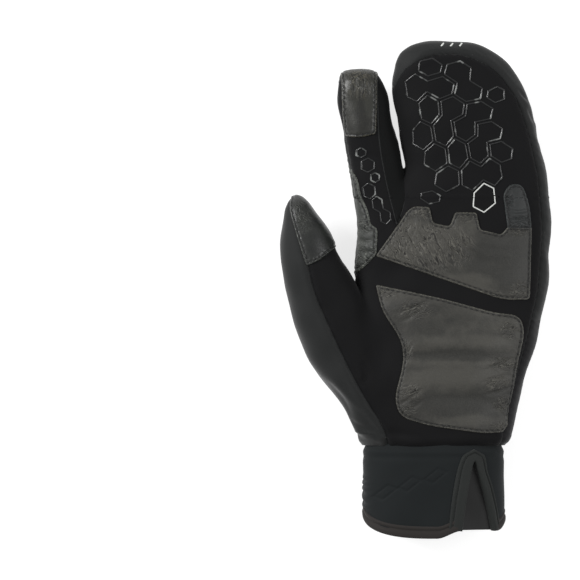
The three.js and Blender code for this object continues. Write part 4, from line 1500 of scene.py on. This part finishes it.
mittRings, indexRings = gripRings(**grip["mitt"]), gripRings(**grip["index"])
alone = [i for i, ring in enumerate(mittRings) if len(ring) < 80]  # a joined outline has more points
pale = min(alone, key=lambda i: np.hypot(*(mittRings[i].mean(0) - np.array(grip["paleNear"]))))
paleSize = grip["paleWidth"], grip["paleHeight"]
printLines("pale_cell", [mittRings.pop(pale)], *paleSize, True, "print", "reflective_piping")
rings = mittRings + indexRings
printLines("grip_print", rings, grip["width"], grip["height"], True, "grip", "palm_fabric")
print("grip print", len(rings))

# Reflective print round the mitt's tip: outlined triangles above a band of slanted outlined bars, on the back,
# and three short strokes that reach over to the palm
tipPrint = dict(
    width=0.36, height=0.12, lift=0.03, start=(50.0, 234.0), along=(-0.8, 0.6), up=(0.6, 0.8), step=6.1, bars=9,
    bar=(2.1, 1.35), slant=0.9,
    triangles=[
        (46.5, 244.5, 3.6, 0.2), (40.5, 252.5, 2.4, 0.9), (32.5, 255.2, 5.0, 0.5), (24.5, 262.3, 2.4, 0.1),
        (17.5, 262.0, 3.4, 0.8),
    ],
    strokes=dict(at=(13.5, 18.5, 23.5), low=266.9, reach=(1.5, 1.9), width=0.4),
)


def tipPrintRings():
    along, up = np.array(tipPrint["along"]), np.array(tipPrint["up"])
    length, half = tipPrint["bar"]
    rings = []
    corners = [(-1, -1), (1, -1), (1, 1), (-1, 1)]
    for i in range(tipPrint["bars"]):
        middle = np.array(tipPrint["start"]) + along * tipPrint["step"] * i
        ring = [middle + along * (a * length + b * tipPrint["slant"]) + up * b * half for a, b in corners]
        rings.append(fineRing(np.array(ring)))
    for x, y, size, turn in tipPrint["triangles"]:
        rings.append(fineRing(np.array([x, y]) + size * polygon(3, turn)))
    return rings


def overTip():
    strokes = tipPrint["strokes"]
    t = np.linspace(0, 1, 8)[:, None]
    return [np.array([x, strokes["low"]]) + t * np.array(strokes["reach"]) for x in strokes["at"]]


for name, rings, width, palm in (
    ("tip_print", tipPrintRings(), tipPrint["width"], False),
    ("tip_print_over", overTip(), tipPrint["strokes"]["width"], True),
):
    printLines(name, rings, width, tipPrint["height"], palm, "print", "reflective_piping", tipPrint["lift"])
print("prints made")


# Plain pale floor that glows to white, soft light from all round and two broad lights from above: each with its
# place in millimetres from the origin, its side and its power
stage = dict(
    reach=4000.0, floorTone=0.4, floorGlow=0.73, world=0.53,
    lights=[("key light", (-1250, 700, 850), 500, 25), ("fill light", (1150, 100, 1100), 800, 12)],
)


def makeStage():
    paint = Paint("pale floor")
    glow = dict(Emission_Color=(1, 1, 1), Emission_Strength=stage["floorGlow"])
    paint.finish(Base_Color=(stage["floorTone"],) * 3, Roughness=0.9, **glow)
    corners = np.array([(-1, -1, 0), (1, -1, 0), (1, 1, 0), (-1, 1, 0)]) * stage["reach"]
    floor = makeObject("floor", corners, [(0, 1, 2, 3)])
    floor.data.materials.append(paint.material)
    world = bpy.data.worlds.new("studio")
    world.use_nodes = True
    world.node_tree.nodes["Background"].inputs[0].default_value = (1, 1, 1, 1)
    world.node_tree.nodes["Background"].inputs[1].default_value = stage["world"]
    bpy.context.scene.world = world
    for name, place, size, power in stage["lights"]:
        light = bpy.data.objects.new(name, bpy.data.lights.new(name, "AREA"))
        light.data.size = size * mm
        light.data.energy = power
        light.location = Vector(place) * mm
        light.rotation_mode = "QUATERNION"
        light.rotation_quaternion = (-Vector(place)).to_track_quat("-Z", "Y")
        bpy.context.collection.objects.link(light)
    bpy.context.scene.view_settings.view_transform = "Standard"


makeStage()
